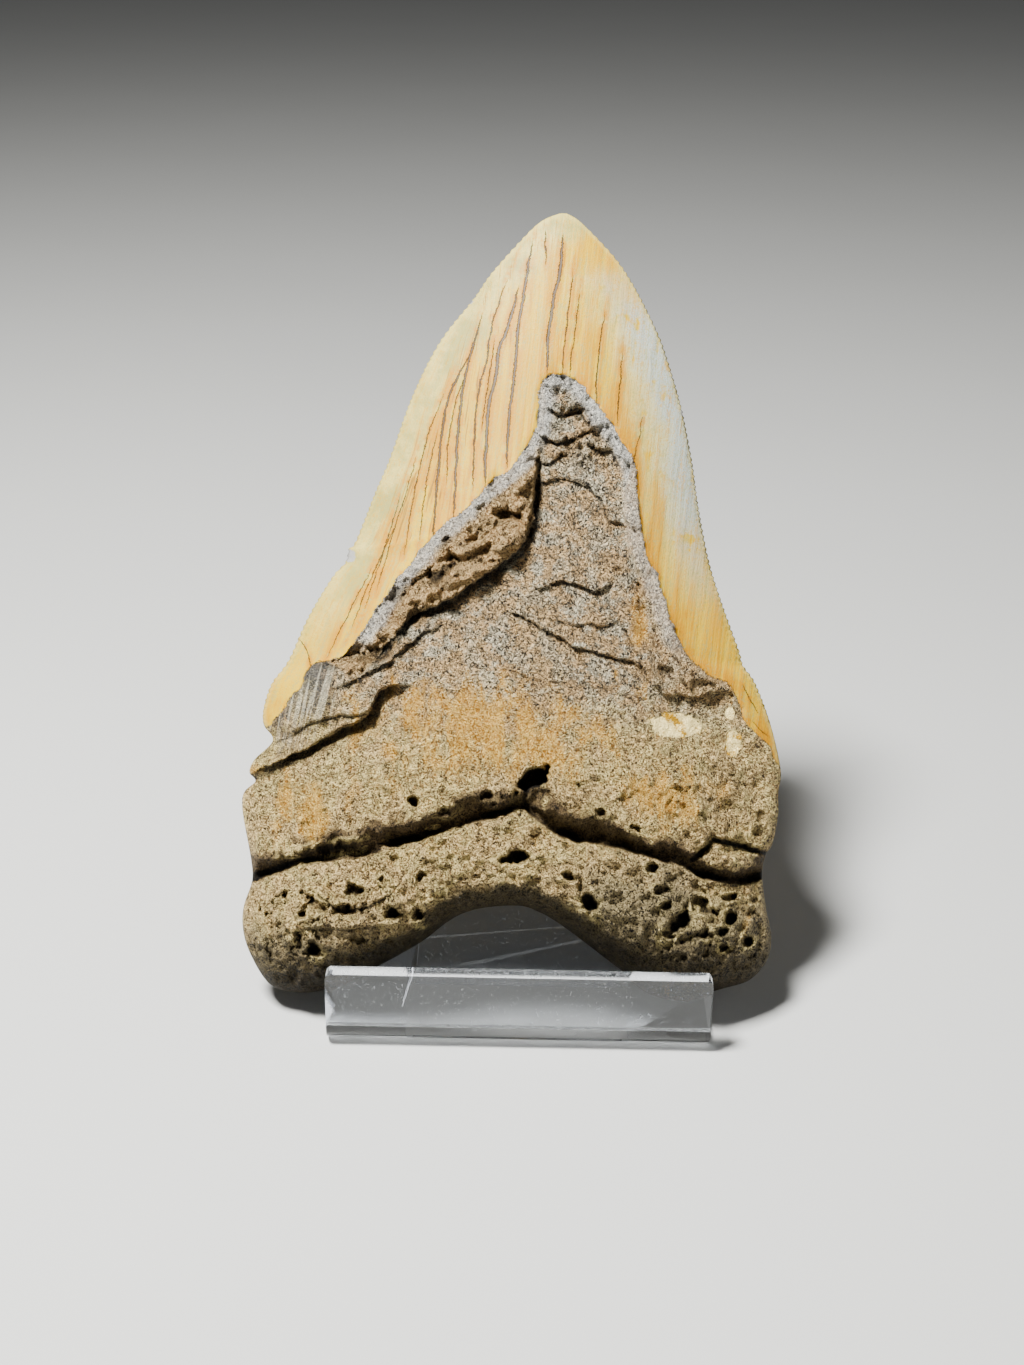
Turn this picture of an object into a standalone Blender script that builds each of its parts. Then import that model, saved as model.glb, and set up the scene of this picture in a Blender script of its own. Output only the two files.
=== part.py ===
"""A large fossil shark tooth leaning on a clear stand that is bent from one acrylic sheet.

Run it with: blender --background --python part.py
Lengths are in millimetres up to the last step, which turns them into Blender's metres.
"""

import math

import bmesh
import bpy
import numpy as np
from mathutils import Matrix, Vector, noise

MM = 0.001

# The tooth as a whole. Its face is seen from EYE_DISTANCE, and its relief rises towards that eye.
LEAN = math.radians(25)
EYE_DISTANCE = 390.0
EYE_HEIGHT = 60.5
RIM_DEPTH = 8.0
TURN = math.radians(1.1)
TOOTH_BACK = 20.3
TOOTH_TRIANGLES = 8600
COLUMNS = 132
ROWS = 172

# The stand: one 3 mm sheet with a front lip, a flat base and a tongue bent up from the base.
SHEET = 3.0
BEND_RADIUS = 2.0
BEND_STEPS = 6
LIP_HEIGHT = 16.2
LIP_WIDTH = 72.7
LIP_CORNER = 1.2
BASE_DEPTH = 100.0
BASE_CORNER = 4.0
TONGUE_WIDTH = 41.0
TONGUE_TOP_WIDTH = 30.0
TONGUE_LENGTH = 70.0
TONGUE_CORNER = 6.0
TONGUE_CHAMFER = 2.4
KERF = 1.2
STAND_OFF_CENTRE = 1.25

# Where the tooth touches the stand, meshes keep this gap.
GAP = 0.3

# The tooth's outline, as (right of the middle, above the foot), from each lobe's lowest point to the tip.
LEFT_SIDE = [
    (-40.5, 0.0), (-45.0, 0.5), (-48.2, 2.7), (-51.3, 8.2), (-52.5, 12.7), (-52.3, 17.0),
    (-50.7, 21.8), (-50.9, 26.1), (-52.5, 35.1), (-52.3, 39.0), (-50.0, 41.3), (-51.2, 43.0),
    (-50.2, 45.5), (-46.6, 49.2), (-48.4, 52.2), (-48.5, 55.5), (-47.0, 60.3), (-43.7, 64.8),
    (-40.0, 73.0), (-35.2, 81.0), (-32.6, 83.9), (-31.9, 86.6), (-30.6, 88.0), (-26.9, 97.3),
    (-24.0, 104.1), (-19.7, 116.0), (-14.4, 126.6), (-7.6, 135.3), (-3.7, 140.8), (4.6, 149.6),
    (9.4, 152.0),
]
RIGHT_SIDE = [
    (34.0, -1.2), (41.5, 0.9), (46.0, 2.3), (48.8, 4.9), (50.3, 7.8), (50.5, 11.7), (49.5, 16.8),
    (48.8, 22.8), (49.4, 26.7), (50.8, 29.1), (51.9, 34.7), (51.9, 39.0), (52.4, 43.5),
    (50.3, 52.8), (47.6, 60.3), (45.2, 63.8), (44.4, 66.7), (41.3, 75.3), (38.6, 83.9),
    (36.5, 94.6), (35.3, 103.2), (33.2, 113.9), (30.6, 122.9), (28.5, 128.7), (24.2, 137.3),
    (19.9, 143.7), (13.5, 150.2), (10.6, 152.0),
]
FOOT = [
    (-40.5, 0.0), (-36.3, 0.6), (-30.5, 3.0), (-24.8, 5.9), (-17.7, 9.9), (-11.7, 14.4),
    (-6.4, 16.4), (1.0, 17.0), (4.9, 15.9), (8.4, 14.0), (12.1, 11.4), (16.8, 7.8), (21.0, 4.6),
    (27.0, 0.2), (34.0, -1.2),
]

# Thickness at the tooth's middle line, from the arch of the root (0) to the tip (1).
STATIONS = [0.0, 0.05, 0.12, 0.2, 0.3, 0.45, 0.6, 0.75, 0.9, 1.0]
FRONT_DEPTHS = [27.0, 28.5, 29.5, 28.0, 25.0, 21.0, 16.5, 12.2, 7.2, 4.4]
RIM_DEPTHS = [8.0, 8.0, 8.0, 8.0, 7.6, 6.6, 5.4, 4.4, 3.6, 3.0]
BACK_DEPTHS = [1.5, 0.8, 0.2, 0.0, 0.0, 0.0, 0.0, 0.0, 0.6, 1.6]
FOOT_ROUNDING = 0.10
ENAMEL_STEP = 0.9
DENTINE_DROP = 1.6
DENTINE_SLOPE = 5.0

# Heights of the face's steps: how far the dentine lies under the enamel, and what stands on it.
FOOT_HOLLOW = 1.3
FOOT_REACH = 2.4
RIDGE_LIP = 0.9
RIDGE_RISE = 1.9
RIDGE_LUMPS = 1.4
RIDGE_ROUGHNESS = 0.8
SLAB_RISE = 2.7
RIGHT_RISE = 1.6
APEX_BLOCKS = 1.1
DENTINE_ROUGHNESS = 0.5
ROOT_ROUGHNESS = 1.0
HOLE_RIM = 0.35
LOBE_PITS = 1.1
BACK_STEP = 1.0
BACK_PITS = 0.9

# Where one surface gives way to the next, as heights above the foot, and as distances to the right.
ROOT_TOP = (38, 48)
RIDGE_FOOT = (60, 64)
RIDGE_FADES = (100, 110)
SLAB_END = (-26, -17)
RIGHT_LEDGE_START = (18, 24)
RIGHT_LEDGE_FOOT = (52, 58)
BACK_ROOT_TOP = 44
BACK_ROOT_ARCH = 8

# Lines on the face: the broken edge of the enamel, then the cliffs below it.
ENAMEL_EDGE = [
    (-52.0, 48.5), (-48.0, 51.3), (-45.4, 54.4), (-41.1, 60.3), (-39.0, 64.2), (-33.5, 65.7),
    (-29.3, 70.0), (-24.0, 78.6), (-18.7, 85.0), (-13.3, 91.3), (-9.0, 94.6), (-4.7, 98.9),
    (0.6, 103.2), (4.3, 109.6), (6.0, 119.1), (10.3, 120.5), (14.4, 117.6), (18.7, 112.1),
    (21.5, 107.4), (24.2, 103.2), (24.8, 94.6), (26.3, 86.0), (28.9, 79.6), (31.6, 71.0),
    (33.7, 66.7), (38.0, 62.4), (42.9, 59.9), (45.4, 52.8), (49.3, 49.1), (51.5, 45.0),
    (54.5, 41.5),
]
RIDGE_CLIFF = [
    (-37.0, 66.5), (-34.7, 63.6), (-30.4, 61.4), (-26.1, 65.1), (-24.0, 68.8), (-18.7, 73.7),
    (-12.3, 76.4), (-8.0, 79.6), (-2.5, 83.3), (3.3, 89.1), (4.3, 94.6), (4.9, 101.0),
    (6.0, 109.6), (6.6, 120.0),
]
SLAB_CLIFF = [
    (-53.0, 42.0), (-50.7, 42.7), (-41.1, 47.0), (-33.5, 51.3), (-28.3, 54.0), (-26.7, 57.7),
    (-25.0, 59.3), (-18.1, 60.3),
]
RIGHT_CLIFF = [
    (23.5, 104.0), (21.6, 96.0), (23.0, 86.5), (24.6, 79.0), (26.6, 71.0), (26.0, 65.0),
    (29.6, 58.4), (36.5, 57.4), (43.2, 58.6), (45.0, 54.0),
]

# The long crack of the root. Its lower lip is steep, and its upper side slopes in under a brow.
ROOT_CRACK = [
    (-52.5, 21.4), (-48.9, 22.6), (-44.5, 24.4), (-41.1, 25.7), (-36.2, 26.2), (-29.0, 27.1),
    (-26.1, 28.0), (-20.7, 29.5), (-14.6, 31.6), (-8.8, 33.4), (-4.5, 34.5), (-0.5, 35.4),
    (2.3, 36.4), (4.2, 34.5), (8.5, 31.6), (12.8, 29.8), (19.3, 29.0), (22.9, 28.0), (28.7, 26.2),
    (32.3, 25.6), (35.9, 23.0), (40.2, 22.2), (44.5, 21.5), (48.1, 22.2), (51.5, 23.2),
]
CRACK_DEPTH = 4.0
BROW_REACH = 3.3
BROW_HEIGHT = 1.7
BROW_FALL = 11.0

# Narrow cracks, each with its half width and its depth.
NARROW_CRACKS = [
    ([(35.0, 26.0), (37.7, 28.0), (39.1, 30.0), (42.7, 29.1), (47.1, 27.9), (51.0, 27.0)], 0.6, 2.2),
    ([(3.2, 40.0), (2.6, 37.8), (2.3, 36.4)], 0.7, 1.8),
    ([(-26.1, 28.3), (-22.0, 24.6), (-20.5, 21.0)], 0.3, 0.5),
    ([(-47.0, 36.2), (-43.0, 36.6), (-39.6, 36.4), (-38.8, 33.4)], 0.25, 0.5),
    ([(-2.0, 63.0), (6.0, 60.5), (15.0, 60.0), (22.0, 57.5)], 0.3, 0.4),
    ([(5.3, 104.0), (4.9, 100.0), (4.0, 93.0), (3.0, 89.4)], 0.5, 1.4),
]

# Broken lips with the high side on the left of the line, their height, and how far they run back.
LEDGES = [
    ([(5.8, 99.3), (8.0, 99.9), (10.4, 100.0), (14.8, 98.7), (17.8, 95.2), (19.1, 92.2),
      (21.2, 91.3)], 0.9, 6.0),
    ([(6.2, 108.4), (8.6, 107.2), (11.2, 107.8), (14.4, 109.2)], 1.2, 3.5),
    ([(8.0, 113.6), (10.2, 112.6), (13.2, 112.9), (15.0, 111.2)], 1.2, 3.0),
    ([(5.2, 103.8), (7.3, 103.0), (9.2, 104.6)], 1.2, 2.6),
    ([(15.0, 107.0), (17.2, 105.4), (19.6, 105.6), (21.0, 103.0)], 0.9, 3.0),
    ([(7.8, 79.5), (10.4, 79.9), (13.9, 78.8), (15.7, 77.8), (16.8, 78.2)], 1.2, 5.0),
    ([(1.0, 73.9), (6.5, 73.0), (12.0, 71.9), (17.0, 71.4), (19.0, 71.9)], 0.7, 4.0),
    ([(1.0, 73.7), (6.5, 70.6), (12.3, 67.5), (18.0, 65.8), (23.6, 64.2)], 1.0, 4.0),
    ([(21.6, 72.0), (24.4, 66.0), (27.0, 60.4)], 0.8, 3.0),
    ([(-31.4, 60.7), (-26.9, 62.6), (-23.3, 64.9), (-20.7, 67.5), (-16.2, 70.4)], 1.3, 5.0),
    ([(-46.0, 48.8), (-42.1, 50.7), (-38.8, 52.9), (-32.4, 53.9), (-29.1, 54.6)], 0.9, 4.0),
    ([(-37.5, 19.0), (-33.0, 16.0), (-29.0, 16.4), (-25.0, 18.6)], 1.0, 3.0),
    ([(-44.0, 11.5), (-39.0, 12.5), (-33.0, 12.2), (-27.0, 13.0)], 0.8, 3.0),
]

# Holes and hollows as (right, up, half width, half height, depth, turn in degrees).
HOLES = [
    (3.5, 41.2, 3.7, 1.7, 5.5, 33), (0.2, 26.2, 2.2, 1.0, 3.0, 5), (-19.3, 37.4, 0.8, 1.0, 1.8, 0),
    (27.4, 24.4, 0.9, 0.7, 1.6, 0), (-23.6, 15.8, 1.3, 1.7, 2.6, 15), (-18.2, 15.0, 1.0, 1.4, 2.2, 10),
    (-38.6, 8.4, 1.0, 1.4, 2.2, 20), (-40.6, 15.2, 0.9, 0.7, 1.5, 0), (-44.2, 19.2, 0.6, 1.0, 1.4, 0),
    (-30.5, 20.1, 1.6, 1.1, 1.8, -10), (-25.1, 21.9, 1.2, 0.6, 1.3, -15), (-17.8, 22.8, 0.9, 0.6, 1.3, 60),
    (-33.0, 16.3, 1.9, 1.2, 1.7, 0), (-38.5, 17.6, 2.4, 0.9, 1.4, -35), (-41.5, 10.6, 1.0, 0.9, 1.4, 0),
    (-49.0, 16.1, 0.6, 0.8, 1.0, 0), (10.6, 22.6, 1.3, 0.8, 1.6, -20), (15.0, 17.8, 1.3, 1.8, 2.6, 25),
    (13.5, 20.3, 0.7, 1.5, 1.3, 0), (29.0, 20.1, 1.0, 0.8, 1.4, 0), (32.0, 13.0, 2.6, 1.4, 2.4, 42),
    (30.1, 16.8, 1.0, 0.8, 1.4, 0), (36.6, 17.8, 1.5, 0.8, 1.6, -20), (38.4, 15.8, 1.6, 0.8, 1.8, -10),
    (42.7, 14.3, 1.0, 1.0, 2.4, 0), (42.7, 18.6, 1.3, 0.6, 1.4, 10), (37.7, 11.4, 1.6, 1.0, 2.0, 0),
    (40.9, 11.8, 1.1, 0.8, 1.8, 20), (46.0, 10.0, 1.0, 1.2, 2.0, 0), (41.3, 8.9, 0.9, 0.7, 1.4, 0),
    (47.3, 17.9, 0.9, 0.7, 1.2, 0), (48.6, 34.6, 0.7, 1.3, 1.2, 0), (48.4, 31.6, 1.2, 0.9, 1.2, 0),
    (17.5, 35.2, 1.4, 0.9, 1.6, -15), (24.2, 32.0, 1.2, 0.7, 1.2, -15), (-35.5, 28.0, 5.0, 1.0, 1.9, 10),
    (-13.0, 35.2, 1.6, 0.8, 1.4, 15), (-5.0, 38.4, 1.2, 0.8, 1.4, 0), (-31.0, 33.2, 0.9, 0.6, 1.0, 0),
    (-0.4, 93.0, 2.6, 0.9, 1.6, -10), (-13.9, 81.7, 3.8, 1.7, 1.9, 35), (-12.2, 88.2, 1.6, 0.8, 1.4, 20),
    (-22.2, 77.3, 3.6, 1.8, 1.3, 40), (-20.0, 73.6, 3.0, 1.2, 1.4, 30), (-26.8, 66.0, 4.2, 1.6, 1.4, 25),
    (-6.0, 86.2, 2.5, 0.9, 1.4, 35), (-31.5, 66.5, 2.2, 1.3, 1.1, 20), (-3.4, 98.0, 1.2, 2.4, 0.8, 0),
    (11.7, 113.2, 2.6, 0.8, 1.2, 5), (-35.6, 63.4, 1.4, 0.8, 1.2, 0), (25.2, 75.6, 0.7, 3.0, 1.0, 5),
    (20.4, 82.0, 1.2, 1.0, 0.7, 0), (31.0, 62.0, 2.4, 0.9, 1.0, -35), (37.5, 60.2, 2.0, 0.8, 1.0, -10),
]

# Loose lumps, in the same order as the holes.
LUMPS = [
    (36.8, 29.6, 1.9, 1.4, 1.3, 0), (41.5, 25.4, 4.6, 1.5, 1.5, -6), (-46.4, 44.2, 4.0, 1.5, 1.3, 14),
    (-24.9, 28.3, 0.9, 0.7, 1.3, 0), (-15.2, 32.3, 1.5, 0.5, 1.1, 12), (-12.0, 36.4, 1.2, 0.8, 0.6, 0),
    (0.9, 39.2, 1.6, 1.0, 0.9, 0), (18.9, 81.5, 1.2, 1.0, 0.6, 0), (-1.0, 88.8, 3.4, 2.2, 1.4, 60),
    (-9.8, 81.6, 4.2, 1.8, 1.2, 30), (-17.6, 78.0, 2.6, 1.6, 1.0, 35), (-33.0, 63.2, 2.0, 1.4, 0.9, 20),
    (-22.8, 70.4, 2.6, 2.6, 1.2, 0), (33.6, 61.2, 2.4, 1.2, 1.0, -20), (11.0, 115.4, 2.4, 1.0, 0.9, 0),
]


def smooth_line(points, steps=5):
    """Catmull-Rom curve through the points, with a number of steps between two of them."""
    p = np.array([points[0], *points, points[-1]], float)
    t = np.linspace(0, 1, steps, endpoint=False)[:, None]
    runs = []
    for a, b, c, d in zip(p[:-3], p[1:-2], p[2:-1], p[3:]):
        runs.append(0.5 * (2 * b + (c - a) * t + (2 * a - 5 * b + 4 * c - d) * t**2
                           + (3 * b - a - 3 * c + d) * t**3))
    return np.vstack([*runs, p[-1:]])


def along(points, share):
    """Points at shares of the length of the smooth curve through the points."""
    line = smooth_line(points)
    reach = np.append(0, np.cumsum(np.hypot(*np.diff(line, axis=0).T)))
    return np.stack([np.interp(share * reach[-1], reach, line[:, i]) for i in (0, 1)], -1)


def offset_from(points, x, w):
    """Signed distance to the smooth curve: positive on the left of its direction."""
    line = smooth_line(points, 3)
    found = np.empty(x.size)
    flat = np.stack([x.ravel(), w.ravel()], -1)
    start, step = line[:-1], np.diff(line, axis=0)
    length = (step**2).sum(1)
    for first in range(0, len(flat), 20000):
        gap = flat[first:first + 20000, None] - start
        share = np.clip((gap * step).sum(-1) / length, 0, 1)
        away = gap - share[..., None] * step
        near = (away**2).sum(-1)
        best = near.argmin(1)
        rows = np.arange(len(best))
        side = step[best, 0] * away[rows, best, 1] - step[best, 1] * away[rows, best, 0]
        found[first:first + 20000] = np.copysign(np.sqrt(near[rows, best]), side)
    return found.reshape(x.shape)


def rise(value, low, high):
    """Smooth step from 0 at low to 1 at high."""
    t = np.clip((value - low) / (high - low), 0, 1)
    return t * t * (3 - 2 * t)


def grain(x, w, size, seed, octaves=4, stretch=1.0, turn=0.0):
    """Fractal noise of about -1 to 1, with features of that size, longer along its turned x by stretch."""
    across = (x * math.cos(turn) + w * math.sin(turn)) / (size * stretch)
    up = (w * math.cos(turn) - x * math.sin(turn)) / size
    places = zip(across.ravel(), up.ravel())
    found = [noise.fractal(Vector((a, b, seed)), 0.8, 2.1, octaves) for a, b in places]
    return np.array(found).reshape(x.shape)


def carve(x, w, cracks, wander):
    """Depth that the narrow cracks take out, with walls that wander by the given noise."""
    taken = np.zeros_like(x)
    for points, half_width, depth in cracks:
        away = np.abs(offset_from(points, x, w) + 0.8 * half_width * wander)
        taken = np.maximum(taken, depth * (1 - rise(away, 0.35 * half_width, 1.5 * half_width)))
    return taken


def spots(places, x, w, wander):
    """The strength of the nearest of the round or long spots, full in its middle, and the rim round it."""
    full, rim = np.zeros_like(x), np.zeros_like(x)
    for right, up, half_width, half_height, depth, turn in places:
        c, s = math.cos(math.radians(turn)), math.sin(math.radians(turn))
        across, rest = x - right, w - up
        reach = np.hypot((across * c + rest * s) / half_width, (rest * c - across * s) / half_height)
        reach = 0.87 * reach + 0.38 * wander
        full = np.maximum(full, depth * (1 - rise(reach, 0.45, 1.2)))
        rim = np.maximum(rim, rise(reach, 0.7, 1.3) * (1 - rise(reach, 1.3, 2.1)))
    return full, rim


def undercut(x, w, wander):
    """What the root's long crack takes out, and the brow that bulges above it."""
    away = offset_from(ROOT_CRACK, x, w) + 0.45 * wander
    reach = BROW_REACH * np.maximum(1 + 0.7 * grain(x, w, 9.0, 11.5, 2) + 0.6 * wander, 0.3)
    lower = 0.8 + 0.6 * grain(x, w, 7.0, 13.5, 2)
    shape = np.where(away > 0, 1 - rise(away, 0.2, reach), 1 - rise(-away, 0.0, np.maximum(lower, 0.4)))
    shape *= np.clip(0.85 + 0.5 * grain(x, w, 11.0, 17.5, 3), 0.5, 1.0)
    brow = rise(away, 0.4 * reach, reach) * (1 - rise(away, reach, reach + BROW_FALL))
    return CRACK_DEPTH * shape, BROW_HEIGHT * brow


def ledges(x, w, wander):
    """Height of the broken lips."""
    high = np.zeros_like(x)
    for points, height, reach in LEDGES:
        away = offset_from(points, x, w) + 0.5 * wander
        high = np.maximum(high, height * rise(away, -0.1, 0.4) * (1 - rise(np.abs(away), 0.5, reach)))
    return high


def front_relief(x, w):
    """Height over the smooth front: enamel, ledges and rough root, less cracks and holes."""
    wander = grain(x, w, 3.0, 1.5)
    enamel = offset_from(ENAMEL_EDGE, x, w) + 0.5 * wander
    ridge = offset_from(RIDGE_CLIFF, x, w) + 0.5 * wander
    slab = offset_from(SLAB_CLIFF, x, w) + 0.4 * wander
    right = offset_from(RIGHT_CLIFF, x, w) + 0.7 * wander
    rough = grain(x, w, 5.0, 7.5, 5)
    lumpy = 2.4 * np.abs(grain(x, w, 5.0, 21.5, 3, 1.5, math.radians(42))) - 0.7
    bare = 1 - rise(enamel, -0.3, 0.3)
    high = rise(w, *ROOT_TOP)
    height = -bare * (ENAMEL_STEP + DENTINE_DROP * rise(-enamel, 0.3, DENTINE_SLOPE))

    on_ridge = rise(ridge, -0.3, 0.4) * bare * rise(w, *RIDGE_FOOT) * (1 - rise(x, 6.5, 8.5))
    broad = on_ridge * rise(-enamel, 0.2, 2.5)
    fading = 1 - 0.75 * rise(w, *RIDGE_FADES)
    height += on_ridge * fading * (RIDGE_LIP + RIDGE_RISE * rise(-enamel, 0.3, DENTINE_SLOPE))
    height += broad * fading * (RIDGE_LUMPS * lumpy + RIDGE_ROUGHNESS * rough)
    on_slab = rise(slab, -0.3, 0.4) * (1 - rise(x, *SLAB_END)) * bare * (1 - on_ridge)
    height += on_slab * SLAB_RISE
    on_right = rise(right, -0.3, 0.5) * bare * rise(x, *RIGHT_LEDGE_START) * rise(w, *RIGHT_LEDGE_FOOT)
    height += on_right * RIGHT_RISE
    under_ridge = (1 - rise(-ridge, 0.2, FOOT_REACH)) * (ridge < 0) * rise(w, *RIDGE_FOOT)
    under_ridge *= 1 - rise(w, *RIDGE_FADES)
    under_slab = (1 - rise(-slab, 0.2, FOOT_REACH)) * (slab < 0) * (1 - rise(x, *SLAB_END))
    height -= bare * FOOT_HOLLOW * (under_ridge + under_slab)
    height += ledges(x, w, wander) * bare * (1 - 0.7 * broad)

    blocky = bare * (1 - on_ridge) * rise(w, 98, 104)
    height += blocky * APEX_BLOCKS * np.abs(grain(x, w, 3.6, 31.5, 3))
    height += bare * high * (1 - broad) * DENTINE_ROUGHNESS * rough
    groove, brow = undercut(x, w, wander)
    root = bare * (1 - high)
    height += root * ROOT_ROUGHNESS * (grain(x, w, 8.0, 2.5, 5) + 0.5 * wander) + bare * brow

    lobes = rise(np.abs(x - 1), 20, 30) * (1 - rise(w, 18, 25)) * rise(w, 4, 8)
    pits = lobes * rise(grain(x, w, 2.2, 5.5, 3), 0.22, 0.55)
    holes, rims = spots(HOLES, x, w, wander)
    lumps, _ = spots(LUMPS, x, w, wander)
    carved = np.maximum(np.maximum(groove, holes), carve(x, w, NARROW_CRACKS, wander))
    added = lumps * (1 - 0.3 * rough) + HOLE_RIM * rims * (1 - high)
    return height + bare * (added - carved - LOBE_PITS * pits)


def back_relief(x, w):
    """Height over the smooth back: a low step where the enamel starts, over a rough root."""
    line = BACK_ROOT_TOP + BACK_ROOT_ARCH * np.cos(math.pi * x / 104)
    bare = 1 - rise(w - line + 0.8 * grain(x, w, 4.0, 8.5), -0.5, 0.5)
    rough = 0.7 * grain(x, w, 7.0, 9.5, 5) + 0.3 * grain(x, w, 2.2, 6.5, 3)
    pits = rise(w, 8, 14) * rise(grain(x, w, 2.8, 3.5, 3), 0.3, 0.6)
    return -bare * (BACK_STEP - rough + BACK_PITS * pits)


def tooth_face(u, v, front):
    """Points of one face of the tooth, from shares across (0 to 1) and from the foot to the tip (0 to 1)."""
    left, right, foot = along(LEFT_SIDE, v), along(RIGHT_SIDE, v), along(FOOT, u)
    tip = (1 - u)[..., None] * LEFT_SIDE[-1] + u[..., None] * RIGHT_SIDE[-1]
    a, b = u[..., None], v[..., None]
    corners = ((1 - a) * (1 - b) * FOOT[0] + a * (1 - b) * FOOT[-1]
               + (1 - a) * b * LEFT_SIDE[-1] + a * b * RIGHT_SIDE[-1])
    x, w = np.moveaxis((1 - b) * foot + b * tip + (1 - a) * left + a * right - corners, -1, 0)

    crown = rise(v, 0.16, 0.38)
    aside = np.abs(2 * u - 1)
    belly = (1 - aside ** (2.8 - 0.8 * crown)) ** (0.5 + 0.4 * crown)
    foot_round = np.sqrt(1 - (1 - np.clip(v / FOOT_ROUNDING, 0, 1)) ** 2)
    full = belly * foot_round * (1 - v**24)
    rim = np.interp(v, STATIONS, RIM_DEPTHS)
    middle = np.interp(v, STATIONS, FRONT_DEPTHS if front else BACK_DEPTHS)
    depth = rim + (middle - rim) * full
    fade = rise(full, 0.0, 0.45)
    if front:
        depth += fade * front_relief(x, w)
    else:
        depth -= fade * back_relief(x, w)
        depth = np.maximum(depth, 0)
    return x, w, depth


def placed(x, w, depth):
    """World points of the tooth: raised towards the eye, turned in its plane and leaned back."""
    nearer = (depth - RIM_DEPTH) / EYE_DISTANCE
    x, w = x * (1 - nearer), w + (EYE_HEIGHT - w) * nearer
    x, w = x * math.cos(TURN) - w * math.sin(TURN), w * math.cos(TURN) + x * math.sin(TURN)
    back = w * math.sin(LEAN) - depth * math.cos(LEAN)
    up = w * math.cos(LEAN) + depth * math.sin(LEAN)
    return np.stack([x, back, up], -1)


def even_arc(count):
    """Shares from 0 to 1 that lie closer together at both ends."""
    return (1 - np.cos(np.linspace(0, math.pi, count))) / 2


def make_tooth():
    """The tooth as two grids, front and back, welded along the outline and thinned to fewer faces."""
    u, v = np.meshgrid(even_arc(COLUMNS + 1), np.linspace(0, 1, ROWS + 1) ** 1.15)
    bm = bmesh.new()
    for front in (True, False):
        made = bmesh.ops.create_grid(bm, x_segments=COLUMNS, y_segments=ROWS, size=1)["verts"]
        made.sort(key=lambda vert: (round(vert.co.y * ROWS), round(vert.co.x * COLUMNS)))
        places = placed(*tooth_face(u, v, front)).reshape(-1, 3)
        for vert, place in zip(made, places):
            vert.co = place
        if not front:
            bmesh.ops.reverse_faces(bm, faces=list({f for vert in made for f in vert.link_faces}))
    bmesh.ops.remove_doubles(bm, verts=[vert for vert in bm.verts if vert.is_boundary], dist=0.0001)
    mesh = bpy.data.meshes.new("megalodon_tooth")
    bm.to_mesh(mesh)
    bm.free()
    tooth = bpy.data.objects.new("megalodon_tooth", mesh)
    thin = tooth.modifiers.new("Fewer faces", "DECIMATE")
    thin.ratio = TOOTH_TRIANGLES / sum(len(p.vertices) - 2 for p in mesh.polygons)
    return tooth


def fold(s, on_tongue, bend_start):
    """(back, up) on the sheet's upper side, at a distance s from the lip's top edge."""
    wall = LIP_HEIGHT - SHEET - BEND_RADIUS
    if s <= wall:
        return SHEET, LIP_HEIGHT - s
    centre = (SHEET + BEND_RADIUS, SHEET + BEND_RADIUS)
    arc = BEND_RADIUS * math.pi / 2
    if s <= wall + arc:
        angle = math.pi + (s - wall) / BEND_RADIUS
        return centre[0] + BEND_RADIUS * math.cos(angle), centre[1] + BEND_RADIUS * math.sin(angle)
    back = centre[0] + s - wall - arc
    if not on_tongue or back <= bend_start:
        return back, SHEET
    most = math.pi / 2 - LEAN
    angle = min((back - bend_start) / BEND_RADIUS, most)
    left = back - bend_start - BEND_RADIUS * angle
    return (bend_start + BEND_RADIUS * math.sin(angle) + left * math.cos(angle),
            SHEET + BEND_RADIUS * (1 - math.cos(angle)) + left * math.sin(angle))


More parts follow.
